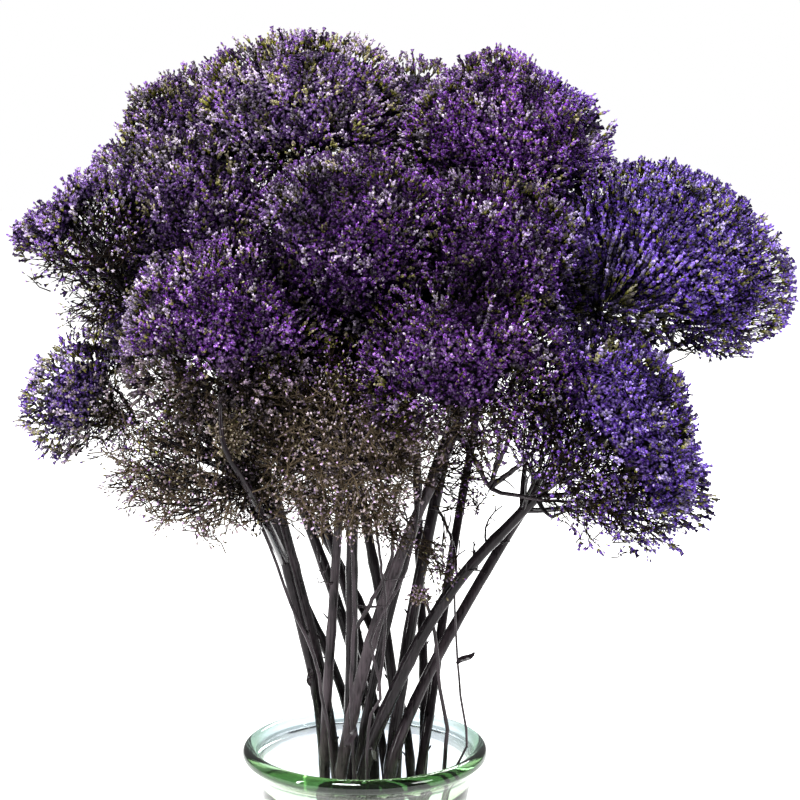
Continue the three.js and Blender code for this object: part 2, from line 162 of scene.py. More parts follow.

# Patches of dry florets that fill the gaps between the heads: the head that carries them, their middle and
# reach, how many forks they have and how light they are painted, as painted light and shade
Patch = namedtuple("Patch", "head middle reach forks light")
PATCHES = [Patch("lower_centre", (-8, -66, 352), (36, 18, 20), 300, 1.0),
           Patch("lower_centre", (-4, -50, 368), (26, 16, 12), 120, 0.4),
           Patch("lower_centre", (-42, -50, 345), (16, 12, 14), 70, 0.6),
           Patch("lower_centre", (14, -60, 282), (9, 8, 12), 30, 0.8),
           Patch("lower_centre", (35, -50, 262), (8, 7, 13), 24, 0.7),
           Patch("lower_centre", (48, -52, 310), (15, 9, 26), 64, 0.5),
           Patch("left_tip", (-116, -30, 322), (14, 12, 20), 56, 0.8),
           Patch("lower_left", (-106, -44, 300), (12, 10, 12), 40, 0.8),
           Patch("lower_left", (-88, -50, 346), (17, 12, 11), 46, 1.1),
           Patch("lower_left", (-47, -70, 295), (7, 7, 11), 44, 0.13),
           Patch("lower_left", (-54, -92, 313), (8, 5, 14), 50, 0.13),
           Patch("far_left", (-119, -45, 382), (20, 12, 15), 45, 0.7),
           Patch("shoulder", (-50, 4, 398), (16, 26, 26), 90, 0.3),
           Patch("left_centre", (-40, -30, 388), (20, 20, 24), 90, 0.3)]
GREEN_CLUMP = Patch("lower_left", (-57, -94, 333), (6, 4, 10), 60, 1.4)

# Bodies of crowded twigs inside the bunch, painted dark as shade: the head that carries each, its middle, its
# half sizes and how light it is painted
Mass = namedtuple("Mass", "head middle half light")
MASSES = [Mass("lower_centre", (-4, -26, 366), (36, 18, 17), 0.09),
          Mass("lower_centre", (-40, -32, 346), (20, 14, 15), 0.12),
          Mass("lower_centre", (-8, -42, 322), (36, 16, 24), 0.9),
          Mass("centre_front", (27, -32, 378), (20, 14, 16), 0.09)]

# Where a head swells beyond its dome or is dented: a place, the reach round it and the push in its middle
Swell = namedtuple("Swell", "head place reach push")
SWELLS = [Swell("far_left", (-148, -28, 434), 28, (8, 0, -9)),
          Swell("shoulder", (-115, 0, 446), 24, (-10, 0, 6)),
          Swell("upper_left", (-105, 60, 472), 42, (-4, 0, 3)),
          Swell("crown", (-68, 30, 488), 26, (-6, 0, 5)),
          Swell("crown", (4, 30, 494), 26, (6, 0, 4)),
          Swell("right", (200, 0, 380), 44, (7, 0, 0)),
          Swell("right_lower", (159, -60, 328), 38, (-7, 0, 0)),
          Swell("right_lower", (154, -60, 281), 26, (6, 0, -6)),
          Swell("right_lower", (115, -70, 290), 26, (0, 0, 6)),
          Swell("top_right", (93, 20, 486), 24, (-3, 0, -5)),
          Swell("top_right", (114, 20, 466), 22, (4, 0, 0)),
          Swell("left_tip", (-156, -14, 328), 24, (-5, 0, 0)),
          Swell("left_tip", (-150, -14, 305), 16, (-3, 0, -5)),
          Swell("lower_left", (-84, -56, 280), 26, (0, 0, 7)),
          Swell("lower_left", (-52, -56, 275), 20, (3, 0, -8))]
SWELL_BREADTH = 1.4


def colour(code, alpha=1.0):
    """A web colour as linear light."""
    parts = [int(code[i:i + 2], 16) / 255 for i in (0, 2, 4)]
    linear = [p / 12.92 if p <= 0.04045 else ((p + 0.055) / 1.055) ** 2.4 for p in parts]
    return (*linear, alpha)


class Value:
    """A shader socket that Python's operators turn into Math nodes."""

    def __init__(self, recipe, socket):
        self.recipe = recipe
        self.socket = socket

    def maths(self, operation, *inputs):
        return self.recipe.node("ShaderNodeMath", {"operation": operation}, inputs)

    def __add__(self, other):
        return self.maths("ADD", self, other)

    def __radd__(self, other):
        return self.maths("ADD", other, self)

    def __sub__(self, other):
        return self.maths("SUBTRACT", self, other)

    def __rsub__(self, other):
        return self.maths("SUBTRACT", other, self)

    def __mul__(self, other):
        return self.maths("MULTIPLY", self, other)

    def __rmul__(self, other):
        return self.maths("MULTIPLY", other, self)

    def __pow__(self, other):
        return self.maths("POWER", self, other)

    def between(self, low, high):
        """0 below low, 1 above high, and smooth in between."""
        return self.recipe.node("ShaderNodeMapRange", {"interpolation_type": "SMOOTHSTEP"},
                                {"Value": self, "From Min": low, "From Max": high})


class Recipe:
    """A material and the nodes that make its finish."""

    def __init__(self, name):
        self.material = bpy.data.materials.new(name)
        self.material.use_nodes = True
        self.tree = self.material.node_tree
        self.shader = self.tree.nodes["Principled BSDF"]

    def node(self, kind, settings=None, inputs=(), output=0):
        """Adds a node: its settings first, then the values or links of its sockets."""
        made = self.tree.nodes.new(kind)
        for key, value in (settings or {}).items():
            if key == "stops":
                self.fill_ramp(made.color_ramp, value)
            else:
                setattr(made, key, value)
        pairs = inputs.items() if isinstance(inputs, dict) else enumerate(inputs)
        for key, value in pairs:
            self.feed(made.inputs[key], value)
        return Value(self, made.outputs[output])

    def feed(self, socket, value):
        if isinstance(value, Value):
            self.tree.links.new(value.socket, socket)
        else:
            socket.default_value = value

    def fill_ramp(self, ramp, stops):
        while len(ramp.elements) < len(stops):
            ramp.elements.new(0.5)
        for element, (place, tint) in zip(ramp.elements, stops):
            element.position = place
            element.color = tint

    def attribute(self, name):
        return self.node("ShaderNodeAttribute", {"attribute_name": name}, output="Fac")

    def coordinates(self):
        return self.node("ShaderNodeTexCoord", output="Object")

    def axes(self, coordinates):
        return [self.node("ShaderNodeSeparateXYZ", None, [coordinates], output=axis) for axis in "XYZ"]

    def noise(self, vector, scale, detail=2.0, roughness=0.5):
        return self.node("ShaderNodeTexNoise", None,
                         {"Vector": vector, "Scale": scale, "Detail": detail, "Roughness": roughness})

    def stretched(self, vector, scale):
        return self.node("ShaderNodeMapping", None, {"Vector": vector, "Scale": scale})

    def mix(self, factor, first, second, blend="MIX"):
        settings = {"data_type": "RGBA", "blend_type": blend}
        return self.node("ShaderNodeMix", settings, {0: factor, 6: first, 7: second}, output=2)

    def finish(self, **sockets):
        """Sets the shader's own sockets, whose names are written with underscores."""
        for key, value in sockets.items():
            self.feed(self.shader.inputs[key.replace("_", " ")], value)
        return self.material

    def bump(self, height, strength, distance):
        return self.node("ShaderNodeBump", None,
                         {"Height": height, "Strength": strength, "Distance": distance})


def deselect():
    if bpy.context.object and bpy.context.object.mode != "OBJECT":
        bpy.ops.object.mode_set(mode="OBJECT")
    bpy.ops.object.select_all(action="DESELECT")


def pick(kind, test):
    """Selects, in edit mode, the vertices, edges or faces that pass a test of their middle."""
    bpy.ops.object.mode_set(mode="EDIT")
    bpy.ops.mesh.select_mode(type=kind)
    bpy.ops.mesh.select_all(action="DESELECT")
    mesh = bpy.context.object.data
    form = bmesh.from_edit_mesh(mesh)
    if kind == "VERT":
        for vertex in form.verts:
            vertex.select_set(test(vertex.co))
    elif kind == "EDGE":
        for edge in form.edges:
            edge.select_set(test((edge.verts[0].co + edge.verts[1].co) / 2))
    else:
        for face in form.faces:
            face.select_set(test(face.calc_center_median()))
    form.select_flush_mode()
    bmesh.update_edit_mesh(mesh)


# The small pieces that are modelled once and copied, in millimetres
FLORET_LENGTH = 2.5
LOBE_RADIUS = 0.98
NOTCH_SHARE = 0.5
THROAT_DEPTH = 0.45
CLOSED_RADIUS = 0.58
CLOSED_LENGTH = 2.2
CLOSED_POINT = 0.8
BUD_RADIUS = 0.55
BUD_LENGTH = 1.7
BUD_POINT = 0.55
SPIKE_STEPS = (1.8, 2.4, 1.4)
SPIKE_WAIST = 0.62
SPIKE_RADIUS = 0.85
TWIG_RADIUS = 0.3
TWIG_END_RADIUS = 0.17
TWIG_BOW = 1.0
NEAR_TOP = 0.99


def add_funnel(sides, radius, length):
    """A cone that stands on its point, in millimetres, with a flat face on top."""
    deselect()
    bpy.ops.mesh.primitive_cone_add(vertices=sides, radius1=0, radius2=radius * MM, depth=length * MM,
                                    location=(0, 0, length * MM / 2))
    bpy.ops.object.transform_apply(location=True)
    return bpy.context.object


def draw_top(length, step):
    """Pokes the top face of a funnel and moves its new middle up by a step, or down."""
    pick("FACE", lambda middle: middle.z > NEAR_TOP * length * MM)
    bpy.ops.mesh.poke()
    pick("VERT", lambda place: place.z > NEAR_TOP * length * MM and place.xy.length < 0.1 * MM)
    bpy.ops.transform.translate(value=(0, 0, step * MM))


def model_open_floret():
    """A slim trumpet with five spreading lobes round a sunken throat."""
    floret = add_funnel(5, LOBE_RADIUS, FLORET_LENGTH)
    top = NEAR_TOP * FLORET_LENGTH * MM
    pick("EDGE", lambda middle: middle.z > top)
    bpy.ops.mesh.subdivide(number_cuts=1)
    inner = 0.9 * LOBE_RADIUS * MM
    pick("VERT", lambda place: place.z > top and place.xy.length < inner)
    bpy.ops.transform.resize(value=(NOTCH_SHARE, NOTCH_SHARE, 1))
    draw_top(FLORET_LENGTH, -THROAT_DEPTH)
    return take_prototype(floret)


def model_closed_floret():
    """A tube whose lobes are still folded to a point."""
    floret = add_funnel(3, CLOSED_RADIUS, CLOSED_LENGTH)
    draw_top(CLOSED_LENGTH, CLOSED_POINT)
    return take_prototype(floret)


def model_bud():
    """A small egg-shaped bud on its stalk."""
    bud = add_funnel(3, BUD_RADIUS, BUD_LENGTH)
    draw_top(BUD_LENGTH, BUD_POINT)
    return take_prototype(bud)


def model_spike():
    """Closed florets packed round the end of a sprig, as one lumpy spindle."""
    spike = add_funnel(4, SPIKE_WAIST, SPIKE_STEPS[0])
    pick("FACE", lambda middle: middle.z > NEAR_TOP * SPIKE_STEPS[0] * MM)
    bpy.ops.mesh.extrude_region_move(TRANSFORM_OT_translate={"value": (0, 0, SPIKE_STEPS[1] * MM)})
    ratio = SPIKE_RADIUS / SPIKE_WAIST
    bpy.ops.transform.resize(value=(ratio, ratio, 1))
    bpy.ops.transform.rotate(value=TURN / 8, orient_axis="Z", center_override=(0, 0, 0))
    draw_top(SPIKE_STEPS[0] + SPIKE_STEPS[1], SPIKE_STEPS[2])
    return take_prototype(spike)


def add_stalk(end_radius):
    """A thin three-sided stalk that stands on its thick end, one unit long."""
    deselect()
    bpy.ops.mesh.primitive_cone_add(vertices=3, radius1=TWIG_RADIUS * MM, radius2=end_radius * MM, depth=MM,
                                    location=(0, 0, MM / 2))
    bpy.ops.object.transform_apply(location=True)
    return bpy.context.object


def model_twig():
    """A twig that narrows a little and bows in its middle."""
    twig = add_stalk(TWIG_END_RADIUS)
    pick("EDGE", lambda middle: 0.4 * MM < middle.z < 0.6 * MM)
    bpy.ops.mesh.subdivide(number_cuts=1)
    pick("VERT", lambda place: 0.4 * MM < place.z < 0.6 * MM)
    bpy.ops.transform.translate(value=(TWIG_BOW * MM, 0, 0))
    return take_prototype(twig)


def model_sprig_stalk():
    """A stalk that tapers to a point."""
    return take_prototype(add_stalk(0))


def model_core():
    """A ball of small faces, to be shaped into the inside of a dense head, which is painted dark as shade."""
    deselect()
    bpy.ops.mesh.primitive_ico_sphere_add(subdivisions=3, radius=MM)
    return take_prototype(bpy.context.object)


Prototype = namedtuple("Prototype", "points triangles along")


def take_prototype(piece):
    """Turns a small modelled piece into arrays in millimetres, for copying, and removes it."""
    bpy.ops.object.mode_set(mode="EDIT")
    bpy.ops.mesh.select_all(action="SELECT")
    bpy.ops.mesh.quads_convert_to_tris()
    bpy.ops.object.mode_set(mode="OBJECT")
    points = np.array([vertex.co for vertex in piece.data.vertices]) / MM
    triangles = np.array([list(face.vertices) for face in piece.data.polygons])
    along = points[:, 2] / points[:, 2].max()
    bpy.data.objects.remove(piece)
    return Prototype(points, triangles, along)


class Growth:
    """Gathers copied prototypes, with what their colours depend on, into one mesh."""

    def __init__(self):
        self.points = []
        self.triangles = []
        # The depth mark carries painted light and shade, how lit each piece is painted; the other marks give
        # its colour
        self.marks = {"tone": [], "along": [], "bud": [], "pale": [], "depth": [], "bed": []}
        self.count = 0

    def add(self, points, triangles, **marks):
        self.points.append(points)
        self.triangles.append(triangles + self.count)
        self.count += len(points)
        for key, values in self.marks.items():
            values.append(np.broadcast_to(marks.get(key, 0.0), len(points)))

    def copy(self, prototype, starts, ways, widths, lengths, rolls, **marks):
        """Copies a prototype to many starts, each turned to its own way and size."""
        if len(starts) == 0:
            return
        sides, fronts = side_vectors(ways, rolls)
        local = prototype.points
        placed = (starts[:, None, :]
                  + sides[:, None, :] * (local[None, :, 0, None] * widths[:, None, None])
                  + fronts[:, None, :] * (local[None, :, 1, None] * widths[:, None, None])
                  + ways[:, None, :] * (local[None, :, 2, None] * lengths[:, None, None]))
        size = len(local)
        shift = (np.arange(len(starts)) * size)[:, None, None]
        triangles = (prototype.triangles[None, :, :] + shift).reshape(-1, 3)
        spread = {key: np.repeat(values, size) if np.ndim(values) else values
                  for key, values in marks.items()}
        ramp = np.tile(prototype.along, len(starts))
        spread["along"] = spread["along"] if "along" in marks else ramp
        self.add(placed.reshape(-1, 3), triangles, **spread)

    def build(self, name):
        mesh = bpy.data.meshes.new(name)
        points = np.concatenate(self.points) * MM
        triangles = np.concatenate(self.triangles)
        mesh.vertices.add(len(points))
        mesh.vertices.foreach_set("co", points.astype(np.float32).ravel())
        mesh.loops.add(triangles.size)
        mesh.loops.foreach_set("vertex_index", triangles.astype(np.int32).ravel())
        mesh.polygons.add(len(triangles))
        mesh.polygons.foreach_set("loop_start", np.arange(0, triangles.size, 3, dtype=np.int32))
        mesh.update(calc_edges=True)
        for key, values in self.marks.items():
            layer = mesh.attributes.new(key, "FLOAT", "POINT")
            layer.data.foreach_set("value", np.concatenate(values).astype(np.float32))
        piece = bpy.data.objects.new(name, mesh)
        bpy.context.scene.collection.objects.link(piece)
        return piece


def unit(vectors):
    return vectors / np.linalg.norm(vectors, axis=-1, keepdims=True)


def side_vectors(ways, rolls):
    """Two directions square to each way, turned about it by its roll."""
    helper = np.where(np.abs(ways[:, 2:]) < 0.9, UP, np.array([1.0, 0.0, 0.0]))
    first = unit(np.cross(helper, ways))
    second = np.cross(ways, first)
    cosine, sine = np.cos(rolls)[:, None], np.sin(rolls)[:, None]
    return first * cosine + second * sine, second * cosine - first * sine


# Points over a dome: how far they stray, as a share of their distance, and how near a pole they may turn
JITTER = 0.35
POLE_SINE = 0.15

# Sprigs point away from a place at this share of the way from a dome's middle to its fork
SPRIG_CENTRE = 0.5


class Dome:
    """The form of a head. Its axis points from the fork out through the crown of the dome."""

    def __init__(self, head, seed):
        self.head = head
        tilt, azimuth = math.radians(head.tilt), math.radians(head.azimuth)
        self.axis = np.array([math.sin(tilt) * math.cos(azimuth), math.sin(tilt) * math.sin(azimuth),
                              math.cos(tilt)])
        self.centre = np.array(head.at, float)
        self.fork = self.centre - self.axis * head.reach
        turn = Vector(UP).rotation_difference(Vector(self.axis)).to_matrix()
        self.turn = np.array(turn)
        self.wrap = math.radians(head.wrap)
        self.random = np.random.RandomState(seed)
        multiplier, increment, span = LOBE_DRAW
        self.lobe_phase = TURN * ((seed * multiplier + increment) % span) / span

    def to_world(self, points):
        return points @ self.turn.T + self.centre

    def to_local(self, points):
        return (points - self.centre) @ self.turn

    def surface(self, polar, angle):
        lobe = 1 + LOBE_DEPTH * np.sin(LOBES * angle + self.lobe_phase) * np.sin(polar)
        across = self.head.half * lobe * np.sin(polar)
        return np.stack([across * np.cos(angle), across * np.sin(angle), self.head.rise * np.cos(polar)],
                        axis=-1)

    def outwards(self, points):
        return unit(points + np.array([0, 0, SPRIG_CENTRE * self.head.reach]))

    def underside(self, share):
        from_rim = np.minimum(1, share / math.sin(self.wrap)) ** 2
        return self.head.rise * (HOLLOW + (min(0, math.cos(self.wrap) + RIM_DIP) - HOLLOW) * from_rim)

    def holds(self, world_points, margin):
        """True where points lie inside the dome by more than a margin."""
        local = self.to_local(world_points)
        across = np.hypot(local[:, 0], local[:, 1])
        half, rise = self.head.half - margin, self.head.rise - margin
        inside = (across / half) ** 2 + (local[:, 2] / rise) ** 2
        above = local[:, 2] > self.underside(across / self.head.half)
        return (inside < 1) & above

    def distance(self, world_points):
        """Roughly how far points lie outside the dome, below 0 inside it."""
        local = self.to_local(world_points)
        across = np.hypot(local[:, 0], local[:, 1]) / self.head.half
        shell = np.hypot(across, local[:, 2] / self.head.rise) - 1
        below = math.cos(self.wrap) * self.head.rise - local[:, 2]
        return np.maximum(shell * (self.head.half + self.head.rise) / 2, below)

    def blocks(self, world_points, way):
        """True where a straight line from a point, along a way, meets the dome."""
        scale = np.array([self.head.half, self.head.half, self.head.rise])
        start, step = self.to_local(world_points) / scale, (way @ self.turn) / scale
        a, b, c = step @ step, start @ step, (start ** 2).sum(axis=1) - 1
        root = np.sqrt(np.maximum(b * b - a * c, 0))
        far = (-b + root) / a
        near = (-b - root) / a
        entry = np.where(near > 0, near, far)
        return (b * b > a * c) & (far > 0) & (start[:, 2] + entry * step[2] > math.cos(self.wrap))

    def lattice(self, spacing, reach_under=0.0):
        """Polar and azimuth angles of evenly spread points over the dome."""
        mean = (self.head.half + self.head.rise) / 2
        wrap = self.wrap + reach_under
        area = TURN * mean ** 2 * (1 - math.cos(wrap))
        count = int(area / spacing ** 2)
        steps = (np.arange(count) + 0.5) / count
        polar = np.arccos(1 - steps * (1 - math.cos(wrap)))
        angle = (np.arange(count) * GOLDEN_ANGLE) % TURN
        jitter = JITTER * spacing / mean
        polar = np.abs(polar + self.random.uniform(-1, 1, count) * jitter)
        angle = angle + self.random.uniform(-1, 1, count) * jitter / np.maximum(POLE_SINE, np.sin(polar))
        return polar, angle


DOMES = [Dome(head, FIRST_SEED + index) for index, head in enumerate(EVERY_HEAD)]
DENSE_DOMES = [dome for dome in DOMES if dome.head.look not in SPARSE]

# A dense head's sprigs stand in tufts, and its tufts in clumps, some of them sunk; sunk clumps and the gaps
# between tufts are painted darker, as shade
CLUMP_SPACING = 12.5
CLUMP_DEPTH = 15.0
CLUMP_LIFT = (-1.6, 3.0)
SUNK_SHARE = 0.2
SUNK_DEPTH = 5.5
SUNK_LIGHT = 0.35
TUFT_SPACING = 7.4
TUFT_LIFT = 1.8
TUFT_BULGE = 2.6
TUFT_SHADE = 0.82
SPRIG_LIFT = 1.2
GAP_REACH = 0.62
GAP_MOST = 1.3
OVERHANG = 0.06
CANOPY_LIFT = 9

# How unevenly the tufts and sprigs are lit, and how many are dark
TUFT_CONTRAST = 0.22
SPRIG_CONTRAST = 0.34
DARK_SHARE = 0.16
DARK_LIGHT = 0.3
LIGHT_LEAST = 0.2
LIGHT_MOST = 1.3
BARE_SHADE = 0.4

# Where fewer florets grow: in the depth between the heads, and on the sides that face the back
SKY_WAYS = 26
SKY_SPAN = 1.4
GRAZING = 0.05
THIN_BELOW = 0.2
BACK_SPACING = 1.55
BACK_FACING = 0.35
BACK_SHARE = 0.65
HIDDEN_MARGIN = 4.0
BLEND = 26.0

# The stalks that show: where they start along a sprig, and how far out on the dome they are drawn
SPRIG_START = 0.25
STALKED_BEYOND = 0.78

# A fan's sprigs: how far apart they are, how long, where they turn from the fan's way to the plain one, and
# the lean and stretch of their florets at its hollow and away from it
FAN_SPACING = 1.14
FAN_LENGTH = 17
FAN_SHARE = 0.85
FAN_NEAR = 22
FAN_CHANGE = 48
FAN_GREEN = 34
FAN_STRAY = 0.12
FAN_LEAN = (0.34, 0.75)
FAN_STRETCH = (1.7, 0.9)

# The florets on a sprig
FLORET_STEP = 1.3
FLORET_LEAN = 0.65
FLORET_SIZE = (0.75, 1.25)
FLORET_GIRTH = (0.8, 1.15)
FLORET_SPREAD = (0.7, 1.5)
FLORET_STRAY = 0.14
SPIKE_GIRTH = (0.8, 1.2)
SPIKE_LENGTH = (0.8, 1.25)
TIP_OPEN = 2.4
SIDE_OPEN = 0.5
STRAY_PALE = 0.1

# Heads of smaller florets: their size, and how far the starts of their sprigs stray
FINE = {"left_tip": 0.86}
FINE_STRAY = 6.0

# Forked twigs with a few florets: their length and girth, and the spread and reach of their side twigs
FORK_LENGTH = (9, 17)
FORK_GIRTH = 1.3
OFFSHOOT_GIRTH = 1.4
OFFSHOOT_SPREAD = (0.5, 1.1)
OFFSHOOT_REACH = (0.3, 0.5)
FORK_FLORETS = 4
FORK_FLORET_SIZE = (0.7, 1.2)
BARE_SPACING = 4.5
INNER_SPACING = 18.0
INNER_FLORETS = 3
INNER_LIGHT = 0.3
INNER_SCALE = 1.5
SPARSE_LAYERS = 2
SPARSE_STRAY = 0.75
PATCH_FILL = 0.45

# The uneven body inside a dense head, painted dark as shade: how deep it lies under the florets, and its
# painted shade
PLAIN_CORE_DEPTH = 6.5
CORE_DEPTH = {"right": 8.0, "left_tip": 9.0}
CORE_ROUGHNESS = 0.05
CORE_SHADE = 0.4
CORE_UNDER_SHADE = 0.06
CORE_BARE_MARGIN = 4


def canopy_depth(points):
    """How deep points lie in the crevices of all dense domes, blended smoothly into one canopy."""
    depth = None
    for dome in DENSE_DOMES:
        here = dome.distance(points)
        if depth is None:
            depth = here
        else:
            share = np.maximum(BLEND - np.abs(depth - here), 0) / BLEND
            depth = np.minimum(depth, here) - share ** 2 * BLEND / 4
    return -depth


def exposure(dome, points, outward):
    """The share of the open sky and sides that each point sees past the other heads."""
    rise = 1 - SKY_SPAN * (np.arange(SKY_WAYS) + 0.5) / SKY_WAYS
    turn = np.arange(SKY_WAYS) * GOLDEN_ANGLE
    flat = np.sqrt(1 - rise ** 2)
    seen, facing = np.zeros(len(points)), np.zeros(len(points))
    for way in np.stack([flat * np.cos(turn), flat * np.sin(turn), rise], axis=1):
        faces = outward @ way > GRAZING
        clear = faces.copy()
        for other in DENSE_DOMES:
            if other is not dome:
                clear &= ~other.blocks(points, way)
        seen += clear
        facing += faces
    return seen / np.maximum(facing, 1)


def painted_hollow_light(points):
    """How bright points are painted beside the hollows between the heads, from 0 to 1: painted shade that
    deepens towards each hollow.
    """
    bright = np.ones(len(points))
    for place, radius in HOLLOWS:
        near = np.linalg.norm(points - np.array(place), axis=1) / radius
        share = np.clip((near - HOLLOW_CORE) / (1 - HOLLOW_CORE), 0, 1)
        bright = bright * (HOLLOW_DARK + (1 - HOLLOW_DARK) * share)
    return bright


def ragged(points):
    """Waves that keep the edge of a bare part uneven, in millimetres."""
    x, y, z = points[:, 0], points[:, 1], points[:, 2]
    wide = 6 * np.sin(0.13 * x + 0.07 * z)
    return wide + 4 * np.sin(0.31 * x - 0.17 * y + 1) + 2 * np.sin(0.57 * z + 0.3 * x)


def swollen(head, points):
    """Moves points of a head where it swells or is dented."""
    for swell in SWELLS:
        if swell.head == head.name:
            far = np.linalg.norm(points - np.array(swell.place), axis=1) / swell.reach
            share = np.clip(1 - far, 0, 1) * SWELL_BREADTH
            points = points + np.minimum(share, 1)[:, None] * np.array(swell.push)
    return points


def bareness(head, points):
    """How far points of a head lie in its bare part, from 0 to 1."""
    if head.name not in BARE:
        return np.zeros(len(points))
    bare = BARE[head.name]
    beyond = (points - np.array(bare.point)) @ unit(np.array(bare.facing, float)) + ragged(points)
    return np.clip(beyond / bare.width + 0.5, 0, 1)


def buried(dome, points):
    """True where points of a head lie inside another dense head."""
    hidden = np.zeros(len(points), bool)
    for other in DENSE_DOMES:
        if other is not dome:
            hidden |= other.holds(points, HIDDEN_MARGIN)
    return hidden


def fan_out(head, tips, clump_bases, random):
    """Sprigs that fan out from the hollow at a head's side, and turn to the plain way further off.
    Gives their starts, their florets' lean and stretch, how green their stalks are, and which have one."""
    hollow = FANS[head.name]
    reach = np.linalg.norm(tips - hollow, axis=1)
    far = np.clip((reach - FAN_NEAR) / FAN_CHANGE, 0, 1)[:, None]
    ways = unit(unit(tips - hollow) * (1.1 - 0.6 * far) + unit(tips - clump_bases) * (0.25 + 0.75 * far))
    starts = tips - ways * np.minimum(FAN_SHARE * reach, FAN_LENGTH)[:, None]
    starts = starts + FAN_STRAY * FAN_LENGTH * far * random.normal(size=starts.shape)
    lean, stretch = (inner + (outer - inner) * far[:, 0] for inner, outer in (FAN_LEAN, FAN_STRETCH))
    stalked = reach > FAN_HOLLOW
    return starts, lean, stretch, np.clip(1.5 - reach / FAN_GREEN, 0, 1) * stalked, stalked


def sprig_light(head, tips, open_share, gap, owner, tuft_count, sunk, random):
    """Painted light and shade on the florets of each sprig: darker where they see less open sky, in gaps
    between tufts, in sunk clumps, beside the hollows and in bare parts.
    """
    # Painted shade where a sprig sees little of the open sky
    light = LIGHT_LEAST + (1 - LIGHT_LEAST) * open_share ** 0.8
    light = light * (1 - TUFT_SHADE * gap / GAP_MOST ** 2) * painted_hollow_light(tips)
    light = light * PAINTED_LIGHT.get(head.name, PLAIN_PAINTED_LIGHT) * np.where(sunk, SUNK_LIGHT, 1)
    tuft_light = np.exp(random.normal(0, TUFT_CONTRAST, tuft_count))
    light = light * tuft_light[owner] * np.exp(random.normal(0, SPRIG_CONTRAST, len(tips)))
    light = light * np.where(random.uniform(0, 1, len(tips)) < DARK_SHARE, DARK_LIGHT, 1)
    return np.minimum(light * (1 - BARE_SHADE * bareness(head, tips)), LIGHT_MOST)


def grow_dense(dome, prototypes):
    """The florets of a full head: sprigs in small tufts over its dome, which share their colour."""
    head, random = dome.head, dome.random
    look = LOOKS[head.look]
    growth = Growth()
    clump = dome.surface(*dome.lattice(CLUMP_SPACING))
    sunk = random.uniform(0, 1, len(clump)) < SUNK_SHARE
    clump_lift = np.where(sunk, -SUNK_DEPTH, random.uniform(*CLUMP_LIFT, len(clump)))
    tuft = dome.surface(*dome.lattice(TUFT_SPACING))
    lift = random.uniform(-TUFT_LIFT, TUFT_LIFT, len(tuft))
    tuft_tone = random.uniform(0, 1, len(tuft))
    lot = random.uniform(0, 1, len(tuft))
    tuft_bud = (lot < look.budding).astype(float)
    tuft_pale = (lot > 1 - look.pale).astype(float)

    spacing = look.spacing * (FAN_SPACING if head.name in FANS else 1)
    spacing = spacing * (BACK_SPACING if head.name in BACK_HEADS else 1)
    polar, angle = dome.lattice(spacing, reach_under=OVERHANG)
    tips = dome.surface(polar, angle)
    owner, near = nearest(tips, tuft)
    base, _ = nearest(tips, clump)
    gap = np.minimum(GAP_MOST, near / (GAP_REACH * TUFT_SPACING)) ** 2
    rise = TUFT_BULGE * (1 - gap) + lift[owner] + clump_lift[base]
    rise = rise + random.uniform(-SPRIG_LIFT, SPRIG_LIFT, len(tips))
    outward = dome.outwards(tips) @ dome.turn.T
    tips = dome.to_world(tips + dome.outwards(tips) * rise[:, None])
    bases = dome.to_world(clump - dome.outwards(clump) * CLUMP_DEPTH)

    open_share = exposure(dome, tips, outward)
    left = BARE[head.name].florets if head.name in BARE else 1
    chance = open_share / THIN_BELOW * np.where(outward[:, 1] > BACK_FACING, BACK_SHARE, 1)
    chance = np.minimum(chance, 1) * (1 - bareness(head, tips) * (1 - left))
    shown = ~buried(dome, tips) & (random.uniform(0, 1, len(tips)) < chance)
    tips, owner, base, outward = tips[shown], owner[shown], base[shown], outward[shown]
    open_share, gap, polar = open_share[shown], gap[shown], polar[shown]
    tips = swollen(head, tips + outward * np.clip(canopy_depth(tips), 0, CANOPY_LIFT)[:, None])

    if head.name in FANS:
        starts, lean, stretch, green, stalked = fan_out(head, tips, bases[base], random)
    else:
        starts, lean, stretch = bases[base], np.full(len(tips), FLORET_LEAN), np.ones(len(tips))
        green, stalked = np.zeros(len(tips)), polar > STALKED_BEYOND * dome.wrap
    if head.name in FINE:
        starts = starts + FINE_STRAY * random.normal(size=starts.shape)
    ways = unit(tips - starts)
    lengths = np.linalg.norm(tips - starts, axis=1)
    light = sprig_light(head, tips, open_share, gap, owner, len(tuft), sunk[base], random)
    cut = (starts + ways * (lengths * SPRIG_START)[:, None])[stalked]
    many = len(cut)
    # Painted shade: the stalks are painted darker than their florets, except green stalks by a fan's hollow
    growth.copy(prototypes["stalk"], cut, ways[stalked], np.ones(many),
                (lengths * (1 - SPRIG_START))[stalked], random.uniform(0, TURN, many),
                tone=random.uniform(0, 1, many), along=0.25 * green[stalked],
                depth=(0.3 * light + 0.9 * green)[stalked])
    tufts = Tufts(tuft_tone[owner], tuft_pale[owner], tuft_bud[owner], light)
    add_florets(growth, prototypes, look, random, tips, ways, tufts, lean, stretch, FINE.get(head.name, 1))
    add_bare_twigs(growth, prototypes, dome, look)
    add_inner_twigs(growth, prototypes, dome, look)
    add_patches(growth, prototypes, dome)
    return growth, bases[np.unique(base)]


def add_bare_twigs(growth, prototypes, dome, look):
    """The forked twigs in the part of a full head that has lost its florets."""
    if dome.head.name not in BARE:
        return
    random = dome.random
    shell = dome.surface(*dome.lattice(BARE_SPACING, reach_under=0.1))
    placed = dome.to_world(shell * random.uniform(0.45, 1.0, len(shell))[:, None])
    share = bareness(dome.head, placed) * BARE[dome.head.name].twigs
    kept = random.uniform(0, 1, len(placed)) < share
    kept &= ~buried(dome, placed)
    out = (dome.outwards(shell) @ dome.turn.T)[kept]
    add_forks(growth, prototypes, look, random, placed[kept], out)


